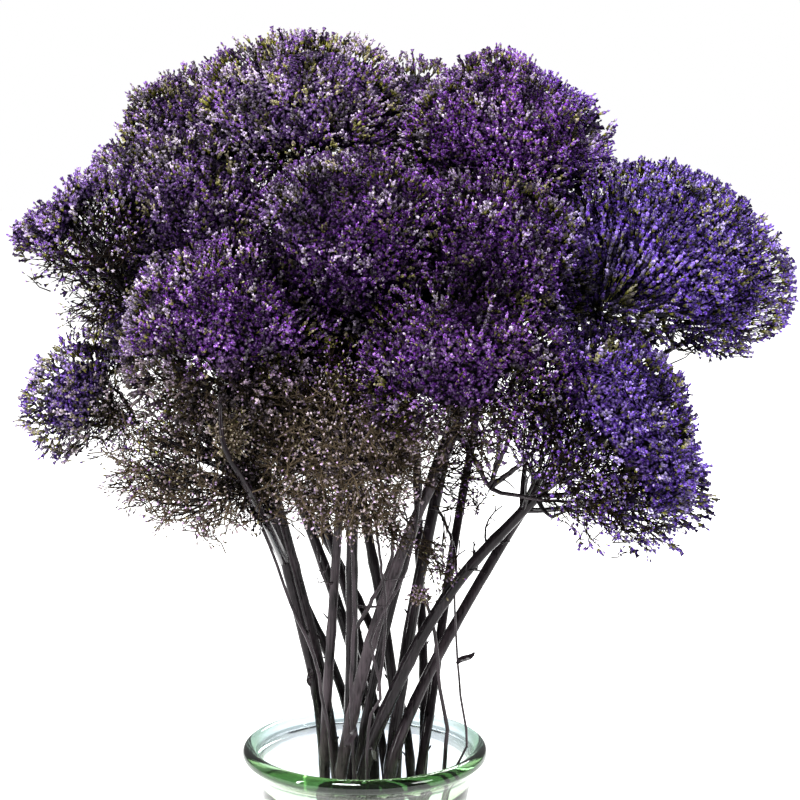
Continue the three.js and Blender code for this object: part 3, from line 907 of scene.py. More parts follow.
def add_patches(growth, prototypes, dome):
    """The patches of dry florets that a head carries."""
    random = dome.random
    for patch in PATCHES:
        if patch.head == dome.head.name:
            ways = unit(random.normal(size=(patch.forks, 3)))
            share = random.uniform(0, 1, (patch.forks, 1)) ** PATCH_FILL
            places = np.array(patch.middle) + ways * share * np.array(patch.reach)
            kept = ~buried(dome, places)
            out = unit(places - dome.fork)[kept]
            add_forks(growth, prototypes, LOOKS["brown"], random, places[kept], out, light=patch.light)


def add_masses(growth, dome, ball):
    """The bodies of crowded twigs that a head carries, painted dark as shade inside the bunch."""
    for mass in MASSES:
        if mass.head == dome.head.name:
            rough = 1 + dome.random.uniform(-0.08, 0.08, (len(ball.points), 1))
            placed = ball.points * rough * np.array(mass.half) + np.array(mass.middle)
            growth.add(placed, ball.triangles, tone=0.4, along=1.0, depth=mass.light, bed=1.0)


def add_green_clump(growth, prototypes, dome):
    """A tight clump of buds that are still green."""
    random = dome.random
    ways = unit(random.normal(size=(GREEN_CLUMP.forks, 3)))
    places = np.array(GREEN_CLUMP.middle) + ways * np.array(GREEN_CLUMP.reach)
    look = LOOKS["olive"]._replace(budding=1.0)
    add_forks(growth, prototypes, look, random, places, ways, light=GREEN_CLUMP.light, scale=0.6)


def add_inner_twigs(growth, prototypes, dome, look):
    """Nearly bare twigs between the fork and the inside of a full head: dark stalks painted darker still, as
    shade inside the head.
    """
    random = dome.random
    shell = dome.surface(*dome.lattice(INNER_SPACING))
    fork = np.array([0, 0, -0.8 * dome.head.reach])
    share = random.uniform(0.35, 0.85, len(shell))
    placed = dome.to_world(fork + (shell - fork) * share[:, None])
    out = dome.outwards(shell) @ dome.turn.T
    kept = ~buried(dome, placed)
    add_forks(growth, prototypes, look, random, placed[kept], out[kept], INNER_FLORETS, INNER_LIGHT,
              INNER_SCALE)


def nearest(points, seeds):
    """For every point, which seed is nearest and how far away it is."""
    gaps = np.linalg.norm(points[:, None, :] - seeds[None, :, :], axis=2)
    return gaps.argmin(axis=1), gaps.min(axis=1)


def grow_sparse(dome, prototypes):
    """The net of forked twigs of a thin, dried-up head, with a few small florets at their ends."""
    head, random = dome.head, dome.random
    look = LOOKS[head.look]
    growth = Growth()
    shell = dome.surface(*dome.lattice(look.spacing, reach_under=0.15))
    fork = np.array([0, 0, -0.6 * head.reach])
    clump = dome.surface(*dome.lattice(CLUMP_SPACING))
    for _ in range(SPARSE_LAYERS):
        share = random.uniform(0.4, 1.0, len(shell)) ** 0.6
        placed = swollen(head, dome.to_world(fork + (shell - fork) * share[:, None]))
        kept = ~buried(dome, placed)
        out = (dome.outwards(shell) @ dome.turn.T)[kept]
        # The forks' florets take their head's painted light
        add_forks(growth, prototypes, look, random, placed[kept], out, look.florets, PAINTED_LIGHT[head.name],
                  stray=SPARSE_STRAY)
    add_patches(growth, prototypes, dome)
    return growth, dome.to_world(clump * 0.75)


def add_forks(growth, prototypes, look, random, places, outward, florets=FORK_FLORETS, light=1.0,
              scale=1.0, stray=0.45):
    """Twigs that end at given places, each with side twigs and small florets on their tips."""
    count = len(places)
    ways = unit(outward + stray * random.normal(size=(count, 3)))
    lengths = random.uniform(*FORK_LENGTH, count) * scale
    starts = places - ways * lengths[:, None]
    colours = {"tone": random.uniform(0, 0.6, count), "along": 0.0,
               "depth": random.uniform(0.5, 1.3, count) * light}
    growth.copy(prototypes["twig"], starts, ways, np.full(count, FORK_GIRTH), lengths,
                random.uniform(0, TURN, count), **colours)
    tone = random.uniform(0, 1, count)
    pale = (random.uniform(0, 1, count) < look.pale) * 0.8
    budding = random.uniform(0, 1, count) < look.budding
    turn = random.uniform(0, TURN, count)
    for place in range(florets):
        if place == 0:
            way, length, start = ways, 0.35 * lengths, places - ways * 0.5
        else:
            sides, _ = side_vectors(ways, turn + GOLDEN_ANGLE * place)
            way = unit(ways + sides * random.uniform(*OFFSHOOT_SPREAD, count)[:, None])
            length = lengths * random.uniform(*OFFSHOOT_REACH, count)
            start = starts + ways * (lengths * (0.3 + 0.7 * place / florets))[:, None]
        growth.copy(prototypes["stalk"], start, way, np.full(count, OFFSHOOT_GIRTH), length,
                    random.uniform(0, TURN, count), **colours)
        end = start + way * (length * 0.93)[:, None]
        lot = random.uniform(0, 1, count)
        size = random.uniform(*FORK_FLORET_SIZE, count)
        opened = lot < look.open * 2
        bud = (lot > look.open * 2 + look.closed) | budding
        for kind, chosen, mark in (("open", opened & ~bud, 0.0), ("closed", ~opened & ~bud, 0.0),
                                   ("bud", bud, 1.0)):
            growth.copy(prototypes[kind], end[chosen], way[chosen], size[chosen], size[chosen],
                        turn[chosen], tone=tone[chosen], bud=mark, pale=pale[chosen],
                        depth=random.uniform(0.5, 1.5, chosen.sum()) * light)


# What the florets of each sprig share with their tuft
Tufts = namedtuple("Tufts", "tone pale bud light")


def add_florets(growth, prototypes, look, random, tips, ways, tufts, lean, stretch, scale):
    """A spike of closed florets ends every sprig, with a few larger florets round it and at its tip."""
    count = len(tips)
    first_turn = random.uniform(0, TURN, count)
    girth = random.uniform(*SPIKE_GIRTH, count) * scale
    length = random.uniform(*SPIKE_LENGTH, count) * stretch * scale
    tone = np.clip(0.7 * tufts.tone + 0.3 * random.uniform(0, 1, count), 0, 1)
    back = tips - ways * (length * sum(SPIKE_STEPS))[:, None]
    # The spike is painted a little darker than the florets round it, as shade
    growth.copy(prototypes["spike"], back, ways, girth * stretch ** 0.6, length, first_turn,
                tone=tone * 0.85, bud=tufts.bud * 0.8, pale=tufts.pale * 0.7, depth=tufts.light * 0.8)
    for place in range(look.florets):
        sides, _ = side_vectors(ways, first_turn + GOLDEN_ANGLE * place)
        tilt = ((0.05 if place == 0 else lean) * random.uniform(*FLORET_SPREAD, count))[:, None]
        way = unit(ways + tilt * sides + FLORET_STRAY * random.normal(size=(count, 3)))
        size = random.uniform(*FLORET_SIZE, count) * scale
        start = tips - ways * ((FLORET_LENGTH * 0.6 + FLORET_STEP * stretch * place) * scale)[:, None]
        own_tone = np.clip(0.6 * tufts.tone + 0.4 * random.uniform(0, 1, count), 0, 1)
        lot = random.uniform(0, 1, count)
        pale = np.maximum(tufts.pale * 0.8, random.uniform(0, 1, count) < STRAY_PALE)
        open_share = look.open * (TIP_OPEN if place == 0 else SIDE_OPEN)
        budding = (lot >= open_share + look.closed) | (tufts.bud > random.uniform(0, 1.2, count))
        # Painted shade: florets further down a sprig are painted darker
        depth = tufts.light * (1.0 - 0.1 * place)
        kinds = [("open", (lot < open_share) & ~budding, 0.0),
                 ("closed", (lot >= open_share) & ~budding, 0.0),
                 ("bud", budding, 1.0)]
        for kind, chosen, bud in kinds:
            growth.copy(prototypes[kind], start[chosen], way[chosen], size[chosen],
                        size[chosen] * random.uniform(*FLORET_GIRTH, chosen.sum()),
                        random.uniform(0, TURN, chosen.sum()), tone=own_tone[chosen], bud=bud,
                        pale=pale[chosen], depth=depth[chosen])


def add_core(growth, dome, ball, depth):
    """The crowded florets in the depth of a head, as one uneven body painted dark as shade."""
    head = dome.head
    points = ball.points.copy()
    lowest = math.cos(dome.wrap) + 0.12
    half, rise = head.half - depth, head.rise - depth
    across = np.hypot(points[:, 0], points[:, 1])
    crown = points[:, 2] > lowest
    rough = 1 + CORE_ROUGHNESS * np.sin(7 * points[:, 0] + 5 * points[:, 1]) * np.cos(6 * points[:, 2])
    rough = rough + dome.random.uniform(-CORE_ROUGHNESS, CORE_ROUGHNESS, len(points))
    height = np.where(crown, points[:, 2] * rise, dome.underside(across * half / head.half) - 3)
    height = np.minimum(height, points[:, 2].clip(lowest) * rise)
    placed = np.stack([points[:, 0] * half, points[:, 1] * half, height], axis=1) * rough[:, None]
    placed = swollen(head, dome.to_world(placed))
    if head.name in BARE:
        bare = BARE[head.name]
        facing = unit(np.array(bare.facing, float))
        beyond = (placed - np.array(bare.point)) @ facing + ragged(placed) + CORE_BARE_MARGIN
        placed = placed - facing * beyond.clip(0)[:, None]
    outward = unit(placed - dome.centre)
    # Painted shade: lighter on top where the body sees open sky, nearly black underneath, darker beside the
    # hollows
    shade = np.where(crown, CORE_SHADE * exposure(dome, placed, outward), CORE_UNDER_SHADE)
    shade = shade * painted_hollow_light(placed) * PAINTED_LIGHT.get(head.name, PLAIN_PAINTED_LIGHT)
    growth.add(placed, ball.triangles, tone=0.3, along=1.0, depth=shade, bed=1.0)


def floret_material():
    """Dried lobes from deep to light, greener stalks, pale and budding ones among them.
    The hue drifts over the bunch: grey lilac above left, bluer to the right, brown below left."""
    recipe = Recipe("dried_florets")
    tone, along, depth, bed, pale, bud = (
        recipe.attribute(name) for name in ("tone", "along", "depth", "bed", "pale", "bud"))
    coordinates = recipe.coordinates()
    x, _, z = recipe.axes(coordinates)
    drift = recipe.noise(coordinates, 16.0, 2.0) - 0.5
    patches = recipe.noise(coordinates, 55.0, 3.0)
    fine = recipe.noise(coordinates, 800.0, 2.0).between(0.32, 0.68)
    fuzz = recipe.noise(coordinates, 1400.0, 1.0).between(0.55, 0.65)
    cells = {"Vector": coordinates, "Scale": 560.0}
    cell_tint = recipe.node("ShaderNodeTexVoronoi", None, cells, output="Color")
    cell_edge = recipe.node("ShaderNodeTexVoronoi", None, cells, output="Distance")
    cell_tone = recipe.node("ShaderNodeSeparateColor", None, [cell_tint], output="Red")
    mixed = (tone + bed * cell_tone * 0.6) * 0.85 + patches * 0.6 + fine * 0.24 - 0.38

    def lobes(palette):
        stops = [(place, colour(tint)) for place, tint in zip((0.0, 0.5, 1.0), palette)]
        return recipe.node("ShaderNodeValToRGB", {"stops": stops}, {"Fac": mixed})

    # Where in the bunch a floret grows, in metres
    right = (x + drift * 0.12).between(0.035, 0.155)
    far_left = (x * -1.0 + drift * 0.1).between(0.08, 0.14)
    above_left = (z - x * 0.6 + drift * 0.15).between(0.425, 0.49)
    not_right = (x * -1.0 + drift * 0.1).between(-0.06, -0.02)
    not_tip = (x - (z - 0.33) * 0.5 + drift * 0.15 + (tone - 0.5) * 0.08).between(-0.14, -0.1)
    below_left = (z * -1.0 - (x + 0.03) * 0.2 + drift * 0.12).between(-0.366, -0.336) * not_right * not_tip
    below_left = below_left * (1.0 - tone.between(0.82, 0.92) * 0.45)

    tint = recipe.mix((right + far_left * 0.7).between(0.0, 1.0), lobes(PLUM), lobes(BLUE))
    tint = recipe.mix(above_left * 0.8, tint, lobes(GREY))
    tint = recipe.mix(below_left * 0.85, tint, lobes(OLIVE))
    pale = (pale * (0.22 + fine * 0.6) + fuzz * 0.5) * (1.0 - below_left * 0.65)
    tint = recipe.mix(pale, tint, recipe.mix(right, colour(PALE_TINT), colour(PALE_BLUE_TINT)))
    bud_tint = recipe.mix(below_left, colour(BUD_TINT), colour(DRY_BUD_TINT))
    tint = recipe.mix(bud * (0.4 + fine * 0.5), tint, bud_tint)
    dark_stalk = recipe.mix(below_left, colour(STALK_TINT), colour(DRY_STALK_TINT))
    green_stalk = recipe.mix(below_left, colour(GREEN_STALK_TINT), colour(DULL_STALK_TINT))
    stalk = recipe.mix((along * 4.0).between(0.0, 1.0), dark_stalk, green_stalk)
    tint = recipe.mix(along.between(0.3, 0.75), stalk, tint)

    # Painted light and shade: the depth mark, how lit each piece is painted, scales its colour, with a fine
    # speckle
    shade = (depth ** 1.3 * 1.1 + 0.004) * (fine * 1.2 + 0.35)
    shade = shade.maths("MINIMUM", shade, 1.25)
    # Painted shade: the edges of the cells on the inner bodies are darkened, as gaps between crowded florets
    shade = shade * (1.0 - bed * cell_edge.between(0.2, 0.75))
    grey = recipe.node("ShaderNodeCombineColor", None, [shade, shade, shade])
    tint = recipe.mix(1.0, tint, grey, blend="MULTIPLY")
    return recipe.finish(Base_Color=tint, Roughness=0.6 + fine * 0.3, Specular_IOR_Level=0.02,
                         Normal=recipe.bump(fine, 0.6, 0.0006))


def catmull_rom(points, count):
    """Points along the curve that three.js draws through a list of points (centripetal)."""
    points = np.array(points, float)
    padded = np.vstack([2 * points[0] - points[1], points, 2 * points[-1] - points[-2]])
    out = []
    for place in np.linspace(0, len(points) - 1, count):
        i = min(int(place), len(points) - 2)
        weight = place - i
        p0, p1, p2, p3 = padded[i:i + 4]
        steps = ((p0, p1), (p1, p2), (p2, p3))
        dt0, dt1, dt2 = (max(1e-4, np.linalg.norm(b - a)) ** 0.5 for a, b in steps)
        t1 = ((p1 - p0) / dt0 - (p2 - p0) / (dt0 + dt1) + (p2 - p1) / dt1) * dt1
        t2 = ((p2 - p1) / dt1 - (p3 - p1) / (dt1 + dt2) + (p3 - p2) / dt2) * dt1
        c2, c3 = -3 * p1 + 3 * p2 - 2 * t1 - t2, 2 * p1 - 2 * p2 + t1 + t2
        out.append(p1 + t1 * weight + c2 * weight ** 2 + c3 * weight ** 3)
    return even_steps(np.array(out), count)


def even_steps(points, count):
    """The same path with its points at even distances."""
    lengths = np.concatenate([[0], np.cumsum(np.linalg.norm(np.diff(points, axis=0), axis=1))])
    places = np.linspace(0, lengths[-1], count)
    return np.stack([np.interp(places, lengths, points[:, k]) for k in range(3)], axis=1)


def around(angle, radius, height=0.0):
    """A place at an angle and a distance round the vase's axis."""
    return np.array([radius * math.cos(angle), radius * math.sin(angle), height])


def stem_path(dome, count):
    """A stem's way from the vase's floor, through the neck, to its fork and into its head."""
    head = dome.head
    heading = math.radians(head.slot)
    side = around(heading - TURN / 4, head.ring.radius)
    foot = side + around(heading, -head.ring.foot_step, VASE_FLOOR + CLEARANCE)
    foot_top = np.array([foot[0], foot[1], VASE_FLOOR + FOOT_LENGTH])
    crossing = side + 0.5 * BUNCH_SHIFT
    crossing[2] = CROSSING_HEIGHT
    neck = side + around(heading, head.ring.neck_step, NECK_HEIGHT) + BUNCH_SHIFT
    tip = dome.centre + dome.axis * (dome.underside(0) + STEM_BITE)
    rise = dome.fork + (neck - dome.fork) * SWING_SHARE + UP * SWING_LIFT
    return catmull_rom([foot, foot_top, crossing, neck, rise, dome.fork, tip], count)


def draw_bars(name, bars, sides_level):
    """Round bars along paths with a radius at every point, as one mesh."""
    curve = bpy.data.curves.new(name, "CURVE")
    curve.dimensions = "3D"
    curve.bevel_depth = MM
    curve.bevel_resolution = sides_level
    curve.use_fill_caps = True
    for path, radii in bars:
        spline = curve.splines.new("POLY")
        spline.points.add(len(path) - 1)
        flat = np.column_stack([path * MM, np.ones(len(path))])
        spline.points.foreach_set("co", flat.ravel())
        spline.points.foreach_set("radius", np.asarray(radii, float))
    piece = bpy.data.objects.new(name, curve)
    bpy.context.scene.collection.objects.link(piece)
    deselect()
    piece.select_set(True)
    bpy.context.view_layer.objects.active = piece
    bpy.ops.object.convert(target="MESH")
    return bpy.context.object


def bent(start, end, push, count):
    """A path from start to end that bows by a push in its middle."""
    steps = np.linspace(0, 1, count)[:, None]
    return start + (end - start) * steps + push * (4 * steps * (1 - steps))


def twig_bar(start, end, push, count, first, last):
    """A bowed twig: its path, and its radius from first to last."""
    return bent(start, end, push, count), np.linspace(first, last, count)


# Branches that fork three times under the tufts: how many there are, how far out their ends are as a share
# of the tufts' distance, and each one's count of points and radius at both ends
FIRST_BRANCHES, SECOND_BRANCHES = 7, 24
FIRST_REACH, SECOND_REACH = 0.42, 0.72
FIRST_BAR, SECOND_BAR, LAST_BAR = (5, 1.45, 1.0), (4, 1.0, 0.6), (3, 0.6, 0.32)


def branch_bars(dome, tuft_bases):
    """The branches between the stem and the tufts of florets."""
    random, fork = dome.random, dome.fork
    spokes = unit(tuft_bases - fork)
    first_ways, second_ways = (unit(dome.to_world(dome.surface(*spread_ways(dome, count))) - fork)
                               for count in (FIRST_BRANCHES, SECOND_BRANCHES))
    first_of = (second_ways @ first_ways.T).argmax(axis=1)
    second_of = (spokes @ second_ways.T).argmax(axis=1)
    reach = np.linalg.norm(tuft_bases - fork, axis=1)
    mean_reach = reach.mean()
    second_used = np.unique(second_of)
    bars, first_knots, second_knots = [], {}, {}
    for i in np.unique(first_of[second_used]):
        start = fork + dome.axis * random.uniform(-6, 12)
        first_knots[i] = fork + first_ways[i] * mean_reach * FIRST_REACH + dome.axis * 2
        bars.append(twig_bar(start, first_knots[i], -dome.axis * 1.5, *FIRST_BAR))
    for j in second_used:
        mine = second_of == j
        second_knots[j] = fork + unit(spokes[mine].mean(axis=0)) * reach[mine].mean() * SECOND_REACH
        push = random.normal(size=3) * 1.2 - dome.axis
        bars.append(twig_bar(first_knots[first_of[j]], second_knots[j], push, *SECOND_BAR))
    for base, j in zip(tuft_bases, second_of):
        bars.append(twig_bar(second_knots[j], base, random.normal(size=3) * 0.9, *LAST_BAR))
    return bars


# How many long curved twigs cross the open part of a head
NETS = {"lower_left": 60, "far_left": 16, "left_tip": 10, "lower_centre": 16, "right_lower": 16}

# A thick branch that comes forward from this stem and lies before its head, and its radius at both ends
FRONT_BRANCH_STEM = "lower_left"
FRONT_BRANCH = [(-38, -20, 257), (-40, -40, 269), (-45, -72, 291), (-52, -96, 312), (-60, -101, 329),
                (-62, -95, 350)]
FRONT_BRANCH_POINTS = 30
FRONT_BRANCH_RADII = (2.7, 0.9)


def net_bars(dome):
    """Long curved twigs with shorter ones forking off them."""
    random = dome.random
    bars = []
    for _ in range(NETS.get(dome.head.name, 0)):
        polar, angle = random.uniform(0.2, 1, 1) * dome.wrap, random.uniform(0, TURN, 1)
        end = dome.to_world(dome.surface(polar, angle) * random.uniform(0.7, 0.92))
        end = swollen(dome.head, end)[0]
        start = dome.fork + (end - dome.fork) * random.uniform(0.1, 0.4)
        twig, radii = twig_bar(start, end, random.normal(size=3) * 4.5, 7, 0.62, 0.25)
        bars.append((twig, radii))
        for place in (2, 3, 4, 5):
            way = unit(unit(end - start) + 0.9 * random.normal(size=3))
            tip = twig[place] + way * random.uniform(6, 12)
            bars.append(twig_bar(twig[place], tip, random.normal(size=3) * 1.6, 4, 0.38, 0.2))
    return bars


def spread_ways(dome, count):
    """Polar and azimuth angles of a few evenly spread ways."""
    steps = (np.arange(count) + 0.5) / count
    polar = np.arccos(1 - steps * (1 - math.cos(dome.wrap)))
    return polar, np.arange(count) * GOLDEN_ANGLE + dome.random.uniform(0, TURN)


# The stems' girths, and how grey the bark of some of them is
STEM_POINTS = 70
STEM_GIRTH = {"crown": 0.78, "upper_left": 0.7, "back_top": 0.72, "top_right": 0.95, "shoulder": 0.85,
              "centre_top": 0.95, "centre_right": 0.7, "back_right": 0.75, "back_left": 0.7, "far_left": 0.72,
              "lower_left": 0.85, "left_centre": 0.9, "lower_centre": 0.8, "centre_front": 0.98,
              "right": 0.85, "right_lower": 0.98}
STEM_BLOOM = {"lower_centre": 0.8, "centre_front": 0.9, "left_centre": 0.5, "right": 0.4}
PLAIN_BLOOM = 0.12
SHOOT_BLOOM = 0.5
LEAF_BLOOM = 0.3

# Swollen nodes along a stem: how far from its ends and from each other, how thick and how long
NODE_START = (10, 30)
NODE_STEP = (22, 46)
NODE_SWELL = (0.06, 0.2)
NODE_LENGTH = 2.6
STEM_SWAY = 0.3

# Stubs of broken twigs low on a stem, and side twigs higher up: their number and where along it they grow
STUBS = 5
STUB_SPAN = (0.3, 0.62)
SIDE_TWIGS = 7
SIDE_TWIG_SPAN = (0.66, 0.94)
SIDE_TWIG_LENGTH = (10, 25)


def stem_bar(dome):
    """The stem itself, with swollen nodes along it."""
    random = dome.random
    path = stem_path(dome, STEM_POINTS)
    t = np.linspace(0, 1, STEM_POINTS)
    radii = STEM_BASE_RADIUS + (STEM_TIP_RADIUS - STEM_BASE_RADIUS) * t ** 3
    radii = radii * STEM_GIRTH[dome.head.name]
    length = np.linalg.norm(np.diff(path, axis=0), axis=1).sum()
    place = random.uniform(*NODE_START)
    while place < length - NODE_START[0]:
        swell = np.exp(-((t * length - place) / NODE_LENGTH) ** 2)
        radii = radii * (1 + random.uniform(*NODE_SWELL) * swell)
        place += random.uniform(*NODE_STEP)
    sway = np.sin(np.pi * t)[:, None]
    wave = [np.sin(TURN * (t * random.uniform(2, 4) + random.uniform())) for _ in range(3)]
    return path + STEM_SWAY * sway * np.stack(wave, axis=1), radii


def side_bars_of(dome, path, radii):
    """Short stubs of broken twigs low on a stem, and thin forking side twigs higher up."""
    random = dome.random
    bars = []
    places = [random.uniform(*STUB_SPAN, STUBS), random.uniform(*SIDE_TWIG_SPAN, SIDE_TWIGS)]
    for number, place in enumerate(np.concatenate(places)):
        index = int(place * (STEM_POINTS - 1))
        along = unit(path[index + 1] - path[index - 1])
        side, _ = side_vectors(along[None, :], random.uniform(0, TURN, 1))
        way = unit(along * random.uniform(0.8, 1.8) + side[0])
        start = path[index]
        if number < STUBS:
            end = start + way * (radii[index] + random.uniform(1.5, 4.5))
            stub_radii = np.array([0.9, 0.7, 0.45]) * random.uniform(0.6, 1.2)
            bars.append((bent(start, end, side[0] * 0.3, 3), stub_radii))
            continue
        length = random.uniform(*SIDE_TWIG_LENGTH)
        push = random.normal(size=3) * length * 0.09
        twig, twig_radii = twig_bar(start, start + way * length, push, 6, 0.75, 0.3)
        bars.append((twig, twig_radii * random.uniform(0.7, 1.2)))
        for fork in (2, 3, 4):
            offshoot = unit(way + 0.9 * random.normal(size=3)) * length * random.uniform(0.2, 0.5)
            bars.append(twig_bar(twig[fork], twig[fork] + offshoot, random.normal(size=3), 3, 0.42, 0.2))
    return bars


# Thin shoots between the stems: each one's path and its radius at both ends
THIN_SHOOTS = [
    ([(-46, -62, 282), (-41, -58, 269), (-34, -54, 246), (-27, -50, 229), (-21, -46, 210), (-19, -42, 195),
      (-16, -38, 174), (-12, -30, 120), (-8, -24, 40)], 0.7, 1.1),
    ([(-6, -66, 300), (-5, -62, 277), (-4, -57, 247), (-5, -53, 217), (-6, -49, 197), (-5, -44, 176),
      (-3, -38, 120), (-2, -30, 40)], 0.9, 1.25),
    ([(4, -60, 300), (7, -54, 275), (10, -49, 245), (10, -44, 224), (7, -38, 198)], 0.6, 0.8),
    ([(16, -60, 300), (14, -54, 280), (13, -49, 264), (3, -44, 241), (-3, -38, 229)], 0.8, 1.1),
    ([(27, -60, 300), (23, -58, 274), (18, -56, 256), (10, -53, 241), (3, -51, 226), (7, -49, 209),
      (8, -47, 196), (3, -44, 186), (2, -42, 150), (4, -34, 60)], 0.6, 1.0),
    ([(41, -42, 272), (41, -40, 262), (43, -38, 242), (44, -36, 217), (46, -34, 192), (49, -32, 169),
      (40, -30, 150), (24, -22, 60)], 0.45, 0.8),
    ([(30, -36, 240), (34, -34, 222), (36, -31, 196), (39, -29, 181), (38, -26, 150), (26, -20, 60)],
     0.8, 1.3),
    ([(59, -50, 299), (61, -56, 310), (62, -60, 323), (59, -62, 337), (55, -62, 349)], 1.3, 0.6),
    ([(61, -56, 309), (66, -60, 321), (70, -62, 334), (74, -64, 346)], 1.2, 0.6),
    ([(59, -50, 299), (68, -58, 308), (80, -64, 320), (92, -68, 332)], 1.5, 0.7),
    ([(34, 2, 279), (39, -14, 273), (43, -30, 262), (44, -36, 250)], 0.9, 0.6),
    ([(42.5, -50.8, 325.8), (47, -51, 319), (53, -50, 309), (59, -50, 298), (73, -58, 296.5), (86, -66, 296),
      (103, -72, 296), (122, -76, 289), (136, -78, 283)], 1.35, 0.5),
]
SHOOT_POINTS = 26
SHOOT_WOBBLE = 0.22
TWIGGY_SHOOTS = (2, 3, 4, 7, 8, 9, 10)
LONG_SHOOT_TWIGS = range(11, 25)


def shoot_bars():
    """The thin shoots, with fine twigs on some of them, most on the last, long one."""
    random = np.random.RandomState(7)
    bars = []
    for number, (points, first, last) in enumerate(THIN_SHOOTS):
        path = catmull_rom(points, SHOOT_POINTS)
        path = path + random.normal(size=path.shape) * SHOOT_WOBBLE
        bars.append((path, np.linspace(first, last, SHOOT_POINTS)))
        for place in random.randint(2, 12, 3 if number in TWIGGY_SHOOTS else 0):
            way = unit(random.normal(size=3) + np.array([0, -0.3, 0.8]))
            end = path[place] + way * random.uniform(4, 20)
            bars.append(twig_bar(path[place], end, random.normal(size=3), 4, 0.4, 0.2))
    long_way = catmull_rom(THIN_SHOOTS[-1][0], SHOOT_POINTS)
    for place in LONG_SHOOT_TWIGS:
        way = unit(np.array([0.7, 0, 0.35]) + 0.5 * random.normal(size=3))
        end = long_way[place] + way * random.uniform(8, 18)
        bars.append(twig_bar(long_way[place], end, random.normal(size=3) * 2, 5, 0.45, 0.2))
    return bars


# Shrivelled leaves among the stems: the place and turn of each, and their size
DRY_LEAVES = [((-25, -46, 207), (1.2, 1.3, 0.2)), ((5, -50, 171), (0.4, 0.5, 0.9)),
              ((-6, -48, 178), (1.0, 0.9, 2.0)), ((48, -38, 214), (0.6, -0.7, 0.3))]
LEAF_LENGTH = 10
LEAF_STEPS = 8
LEAF_THICKNESS = 0.25


def model_dry_leaf(place, turn):
    """A small shrivelled leaf: a strip narrowed to both ends, curled, and given a thin body."""
    deselect()
    bpy.ops.mesh.primitive_grid_add(x_subdivisions=LEAF_STEPS, y_subdivisions=2, size=LEAF_LENGTH * MM)
    leaf = bpy.context.object
    for column in range(LEAF_STEPS + 1):
        across = (column / LEAF_STEPS - 0.5) * LEAF_LENGTH * MM
        pick("VERT", lambda spot: abs(spot.x - across) < 0.2 * MM)
        width = 0.06 + 0.3 * math.sin(math.pi * min(1, (column + 0.5) / (LEAF_STEPS + 0.5)))
        bpy.ops.transform.resize(value=(1, width, 1))
        curl = 2.2 * MM * math.sin(0.9 + column * 0.55)
        bpy.ops.transform.translate(value=(0, 0, curl))
    pick("VERT", lambda spot: abs(spot.y) < 0.05 * MM)
    bpy.ops.transform.translate(value=(0, 0, -0.5 * MM))
    bpy.ops.object.mode_set(mode="OBJECT")
    body = leaf.modifiers.new("body", "SOLIDIFY")
    body.thickness = LEAF_THICKNESS * MM
    bpy.ops.object.modifier_apply(modifier=body.name)
    leaf.rotation_euler = turn
    leaf.location = [value * MM for value in place]
    bpy.ops.object.transform_apply(location=True, rotation=True)
    return leaf


def join(pieces, name):
    """Makes several pieces one, under a new name."""
    deselect()
    for piece in pieces:
        piece.select_set(True)
    bpy.context.view_layer.objects.active = pieces[0]
    bpy.ops.object.join()
    joined = bpy.context.object
    joined.name = name
    joined.data.name = name
    return joined


def stem_material():
    """Charred plum bark with fine lengthwise ridges, and grey bloom on some stems."""
    recipe = Recipe("dried_bark")
    coordinates = recipe.coordinates()
    ridges = recipe.noise(recipe.stretched(coordinates, (1100, 1100, 45)), 1.0, 3.0)
    blotches = recipe.noise(coordinates, 70.0, 3.0)
    stops = [(0.3, colour("040304")), (0.55, colour("120e11")), (0.78, colour("2c2429"))]
    dark = recipe.node("ShaderNodeValToRGB", {"stops": stops}, {"Fac": ridges * 0.6 + blotches * 0.4})
    bloom = recipe.attribute("bloom") * (ridges * 0.5 + blotches * 0.5).between(0.3, 0.62)
    tint = recipe.mix(bloom * 0.9, dark, colour("463d42"))
    return recipe.finish(Base_Color=tint, Roughness=0.1 + ridges * 0.12, Specular_IOR_Level=0.13,
                         Normal=recipe.bump(ridges, 0.12, 0.0005))


# The vase's foot, rolled rim and wall
FOOT_RADIUS = 34.0
RIM_RADIUS = 60
RIM_TUBE = 3.8
RIM_SWEEP = (-80, 215)
WALL = 4.5
PROFILE_STEPS = 22


def vase_profile():
    """Radius and height of the vase's outside, rolled rim and inside, from foot to inner floor."""
    stations = [(39, 4, 0), (40, 30, 0), (44, 92, 0), (53, 147, 0)]
    outer = catmull_rom(stations, PROFILE_STEPS)[:, :2]
    angles = np.radians(np.linspace(*RIM_SWEEP, PROFILE_STEPS))
    rim = np.stack([RIM_RADIUS - RIM_TUBE + RIM_TUBE * np.cos(angles),
                    VASE_HEIGHT - RIM_TUBE + RIM_TUBE * np.sin(angles)], axis=1)
    inner = outer[::-1][1:-1] - np.array([WALL, 0])
    inner = inner[inner[:, 1] > VASE_FLOOR + 6]
    foot = np.array([[35.5, 0.4], [37.8, 1.4], [38.8, 3.0]])
    floor = np.array([[33.4, 22.0], [31.5, 19.4], [29.0, 18.2], [26.0, VASE_FLOOR]])
    return np.concatenate([foot, outer[1:], rim, inner, floor])


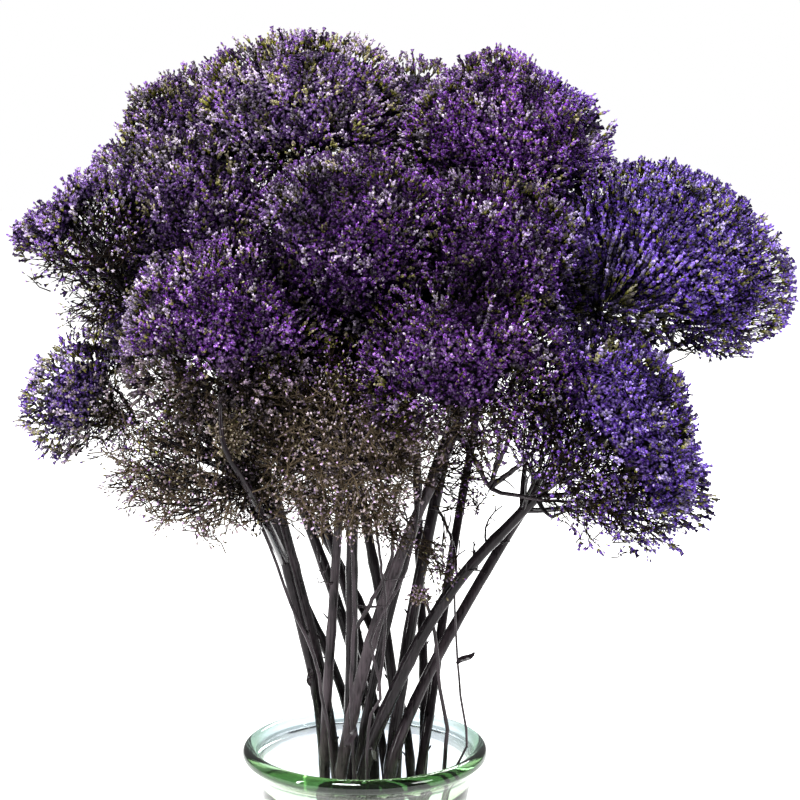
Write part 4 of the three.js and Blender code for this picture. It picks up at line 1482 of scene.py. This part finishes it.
def model_vase():
    """Raised from its flat foot by extruding the top face from station to station."""
    deselect()
    bpy.ops.mesh.primitive_circle_add(vertices=96, radius=FOOT_RADIUS * MM, fill_type="NGON")
    vase = bpy.context.object
    vase.name = "glass_vase"
    bpy.ops.object.mode_set(mode="EDIT")
    bpy.ops.mesh.select_all(action="SELECT")
    bpy.ops.mesh.flip_normals()
    radius, height = FOOT_RADIUS, 0.0
    for next_radius, next_height in vase_profile():
        step = (0, 0, (next_height - height) * MM)
        bpy.ops.mesh.extrude_region_move(TRANSFORM_OT_translate={"value": step})
        ratio = next_radius / radius
        bpy.ops.transform.resize(value=(ratio, ratio, 1), center_override=(0, 0, next_height * MM))
        radius, height = next_radius, next_height
    bpy.ops.mesh.select_all(action="SELECT")
    bpy.ops.mesh.normals_make_consistent(inside=False)
    bpy.ops.object.mode_set(mode="OBJECT")
    bpy.ops.object.shade_smooth()
    return vase


def glass_material():
    """Pale green pressed glass. Its rim is painted deep green along its outer and inner edge in front, as
    shade where the thick glass is seen edge-on, with a lighter painted highlight along its top that turns
    darker teal at the sides; behind, the rim is painted pale and bluish.
    """
    recipe = Recipe("green_glass")
    coordinates = recipe.coordinates()
    x, y, z = recipe.axes(coordinates)
    across = (x * x + y * y) ** 0.5
    rim = z.between(0.149, 0.154)
    front = (y * -1.0).between(-0.05, 0.02)
    outer_edge = across.between(0.0568, 0.0588)
    inner_edge = 1.0 - across.between(0.0528, 0.0546)
    edge = (outer_edge + inner_edge).between(0.0, 1.0)
    # Painted shade and highlight on the rim: deep green edges and a lighter top in front, darker teal at its
    # sides, pale behind
    painted_rim_edge_shade = recipe.mix(front, colour("b9c9cf"), colour("3d6634"))
    painted_rim_top = recipe.mix(front, colour("eaeef1"), colour("86a878"))
    side = ((x * x) ** 0.5).between(0.032, 0.054)
    painted_rim_top = recipe.mix(side * 0.85, painted_rim_top, colour("6d9382"))
    front_tint = recipe.mix(z.between(0.06, 0.15), colour("bcd6a2"), colour("c8debb"))
    body_tint = recipe.mix(front, colour("d8e0ea"), front_tint)
    tint = recipe.mix(rim, body_tint, recipe.mix(edge, painted_rim_top, painted_rim_edge_shade))
    waves = recipe.noise(recipe.stretched(coordinates, (30, 30, 90)), 1.0, 1.0)
    return recipe.finish(Base_Color=tint, Roughness=0.02, Transmission_Weight=0.99, IOR=1.45,
                         Specular_IOR_Level=0.25, Normal=recipe.bump(waves, 0.15, 0.002))


def make_camera():
    data = bpy.data.cameras.new("camera")
    data.lens = CAMERA_LENS
    data.sensor_width = SENSOR_WIDTH
    camera = bpy.data.objects.new("camera", data)
    camera.location = CAMERA_PLACE
    camera.rotation_euler = (math.radians(90 - CAMERA_PITCH_DOWN), 0, 0)
    bpy.context.scene.collection.objects.link(camera)
    bpy.context.scene.camera = camera


# Each light of the studio: its place, its width and height, and its power
Lamp = namedtuple("Lamp", "name place width height power")
LAMPS = [Lamp("key", (-0.5, -1.1, 2.2), 0.8, 0.8, 80),
         Lamp("right", (1.5, -0.9, 1.2), 0.7, 0.7, 20),
         Lamp("left_strip", (-1.3, -0.7, 0.6), 0.08, 1.1, 18),
         Lamp("back", (0.3, 1.6, 1.6), 1.0, 1.0, 30)]
LAMP_AIM = Vector((0, 0, 0.33))
MIRRORED_STRENGTH = 0.32


def make_light(lamp):
    data = bpy.data.lights.new(lamp.name, "AREA")
    data.shape = "ELLIPSE"
    data.size = lamp.width
    data.size_y = lamp.height
    data.energy = lamp.power
    light = bpy.data.objects.new(lamp.name, data)
    light.location = lamp.place
    aim = LAMP_AIM - Vector(lamp.place)
    light.rotation_euler = aim.to_track_quat("-Z", "Y").to_euler()
    bpy.context.scene.collection.objects.link(light)


def make_studio():
    """A white world that is dimmer where it is mirrored, the lights, and a pale floor."""
    scene = bpy.context.scene
    scene.view_settings.view_transform = "Standard"
    world = bpy.data.worlds.new("studio")
    scene.world = world
    world.use_nodes = True
    tree = world.node_tree
    back = tree.nodes["Background"]
    back.inputs["Color"].default_value = (1, 1, 1, 1)
    rays = tree.nodes.new("ShaderNodeLightPath")
    strength = tree.nodes.new("ShaderNodeMapRange")
    strength.inputs["To Min"].default_value = 1.0
    strength.inputs["To Max"].default_value = MIRRORED_STRENGTH
    tree.links.new(rays.outputs["Is Reflection Ray"], strength.inputs["Value"])
    tree.links.new(strength.outputs[0], back.inputs["Strength"])
    for lamp in LAMPS:
        make_light(lamp)
    deselect()
    bpy.ops.mesh.primitive_circle_add(vertices=64, radius=4.0, fill_type="NGON")
    floor = bpy.context.object
    floor.name = "studio_floor"
    recipe = Recipe("studio_floor")
    soft = recipe.noise(recipe.coordinates(), 6.0)
    tint = recipe.mix(soft, (0.93, 0.93, 0.93, 1), (0.97, 0.97, 0.97, 1))
    floor.data.materials.append(recipe.finish(Base_Color=tint, Roughness=0.9, Emission_Color=tint,
                                              Emission_Strength=0.75))


def add_bloom(piece, amount):
    """How grey the bark of a piece is, from 0 to 1."""
    layer = piece.data.attributes.new("bloom", "FLOAT", "POINT")
    layer.data.foreach_set("value", np.full(len(piece.data.vertices), amount, dtype=np.float32))


def finish_piece(piece, material, slot, *nodes):
    """Gives a piece its material and the body it rides on, and hides the CAD parts of the nodes it stands
    for. Its slot is not used.
    """
    piece.data.materials.clear()
    piece.data.materials.append(material)
    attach(piece, "root")
    if nodes:
        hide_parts(*nodes)


def make_head(dome, prototypes, ball, material):
    """The florets of a head, as one piece. Gives the places that its branches end at."""
    head = dome.head
    if head.look in SPARSE:
        growth, tuft_bases = grow_sparse(dome, prototypes)
        add_masses(growth, dome, ball)
        if head.name == GREEN_CLUMP.head:
            add_green_clump(growth, prototypes, dome)
    else:
        growth, tuft_bases = grow_dense(dome, prototypes)
        add_masses(growth, dome, ball)
        add_core(growth, dome, ball, CORE_DEPTH.get(head.name, PLAIN_CORE_DEPTH))
    piece = growth.build("florets_" + head.name)
    finish_piece(piece, material, LOOKS[head.look].slot, "head_" + head.name)
    return tuft_bases


def make_stem(dome, branches, material):
    """A stem with its nodes, branches and twigs, as one piece."""
    head = dome.head
    path, radii = stem_bar(dome)
    thick = [(path, radii)]
    if head.name == FRONT_BRANCH_STEM:
        thick.append((catmull_rom(FRONT_BRANCH, FRONT_BRANCH_POINTS),
                      np.linspace(*FRONT_BRANCH_RADII, FRONT_BRANCH_POINTS)))
    stem = draw_bars("stem", thick, 3)
    bpy.ops.object.shade_smooth()
    twigs = draw_bars("twigs", branches + side_bars_of(dome, path, radii), 0)
    stem = join([stem, twigs], "woody_stem_" + head.name)
    add_bloom(stem, STEM_BLOOM.get(head.name, PLAIN_BLOOM))
    finish_piece(stem, material, "dark_stem", "stem_" + head.name)


def make_thin_shoots(material):
    shoots = draw_bars("thin_shoots", shoot_bars(), 1)
    add_bloom(shoots, SHOOT_BLOOM)
    finish_piece(shoots, material, "dark_stem")


# A small tuft of olive florets low on a thin shoot: its place, how far its forks spread and their number
OLIVE_TUFT_PLACE = (27, -50, 247)
OLIVE_TUFT_SPREAD = 1.6
OLIVE_TUFT_FORKS = 26


def make_olive_tuft(prototypes, material):
    random = np.random.RandomState(11)
    size = (OLIVE_TUFT_FORKS, 3)
    places = np.array(OLIVE_TUFT_PLACE) + random.normal(size=size) * OLIVE_TUFT_SPREAD
    growth = Growth()
    add_forks(growth, prototypes, LOOKS["olive"], random, places, unit(random.normal(size=size)),
              light=1.6, scale=0.3)
    finish_piece(growth.build("olive_tuft"), material, "olive_florets")


def make_dry_leaves(material):
    leaves = join([model_dry_leaf(place, turn) for place, turn in DRY_LEAVES], "dry_leaves")
    add_bloom(leaves, LEAF_BLOOM)
    finish_piece(leaves, material, "dark_stem")


make_camera()
make_studio()
finish_piece(model_vase(), glass_material(), "vase_glass", "vase")

prototypes = {"open": model_open_floret(), "closed": model_closed_floret(), "bud": model_bud(),
              "spike": model_spike(), "stalk": model_sprig_stalk(), "twig": model_twig()}
core_ball = model_core()
floret_finish = floret_material()
bark_finish = stem_material()

# The side head comes first, because its branches grow from another head's stem
side_branches = []
for dome in reversed(DOMES):
    tuft_bases = make_head(dome, prototypes, core_ball, floret_finish)
    branches = branch_bars(dome, tuft_bases) + net_bars(dome)
    if dome.head is SIDE_HEAD:
        side_branches = branches
    else:
        make_stem(dome, branches + (side_branches if dome.head.name == SIDE_STEM else []), bark_finish)

make_thin_shoots(bark_finish)
make_olive_tuft(prototypes, floret_finish)
make_dry_leaves(bark_finish)
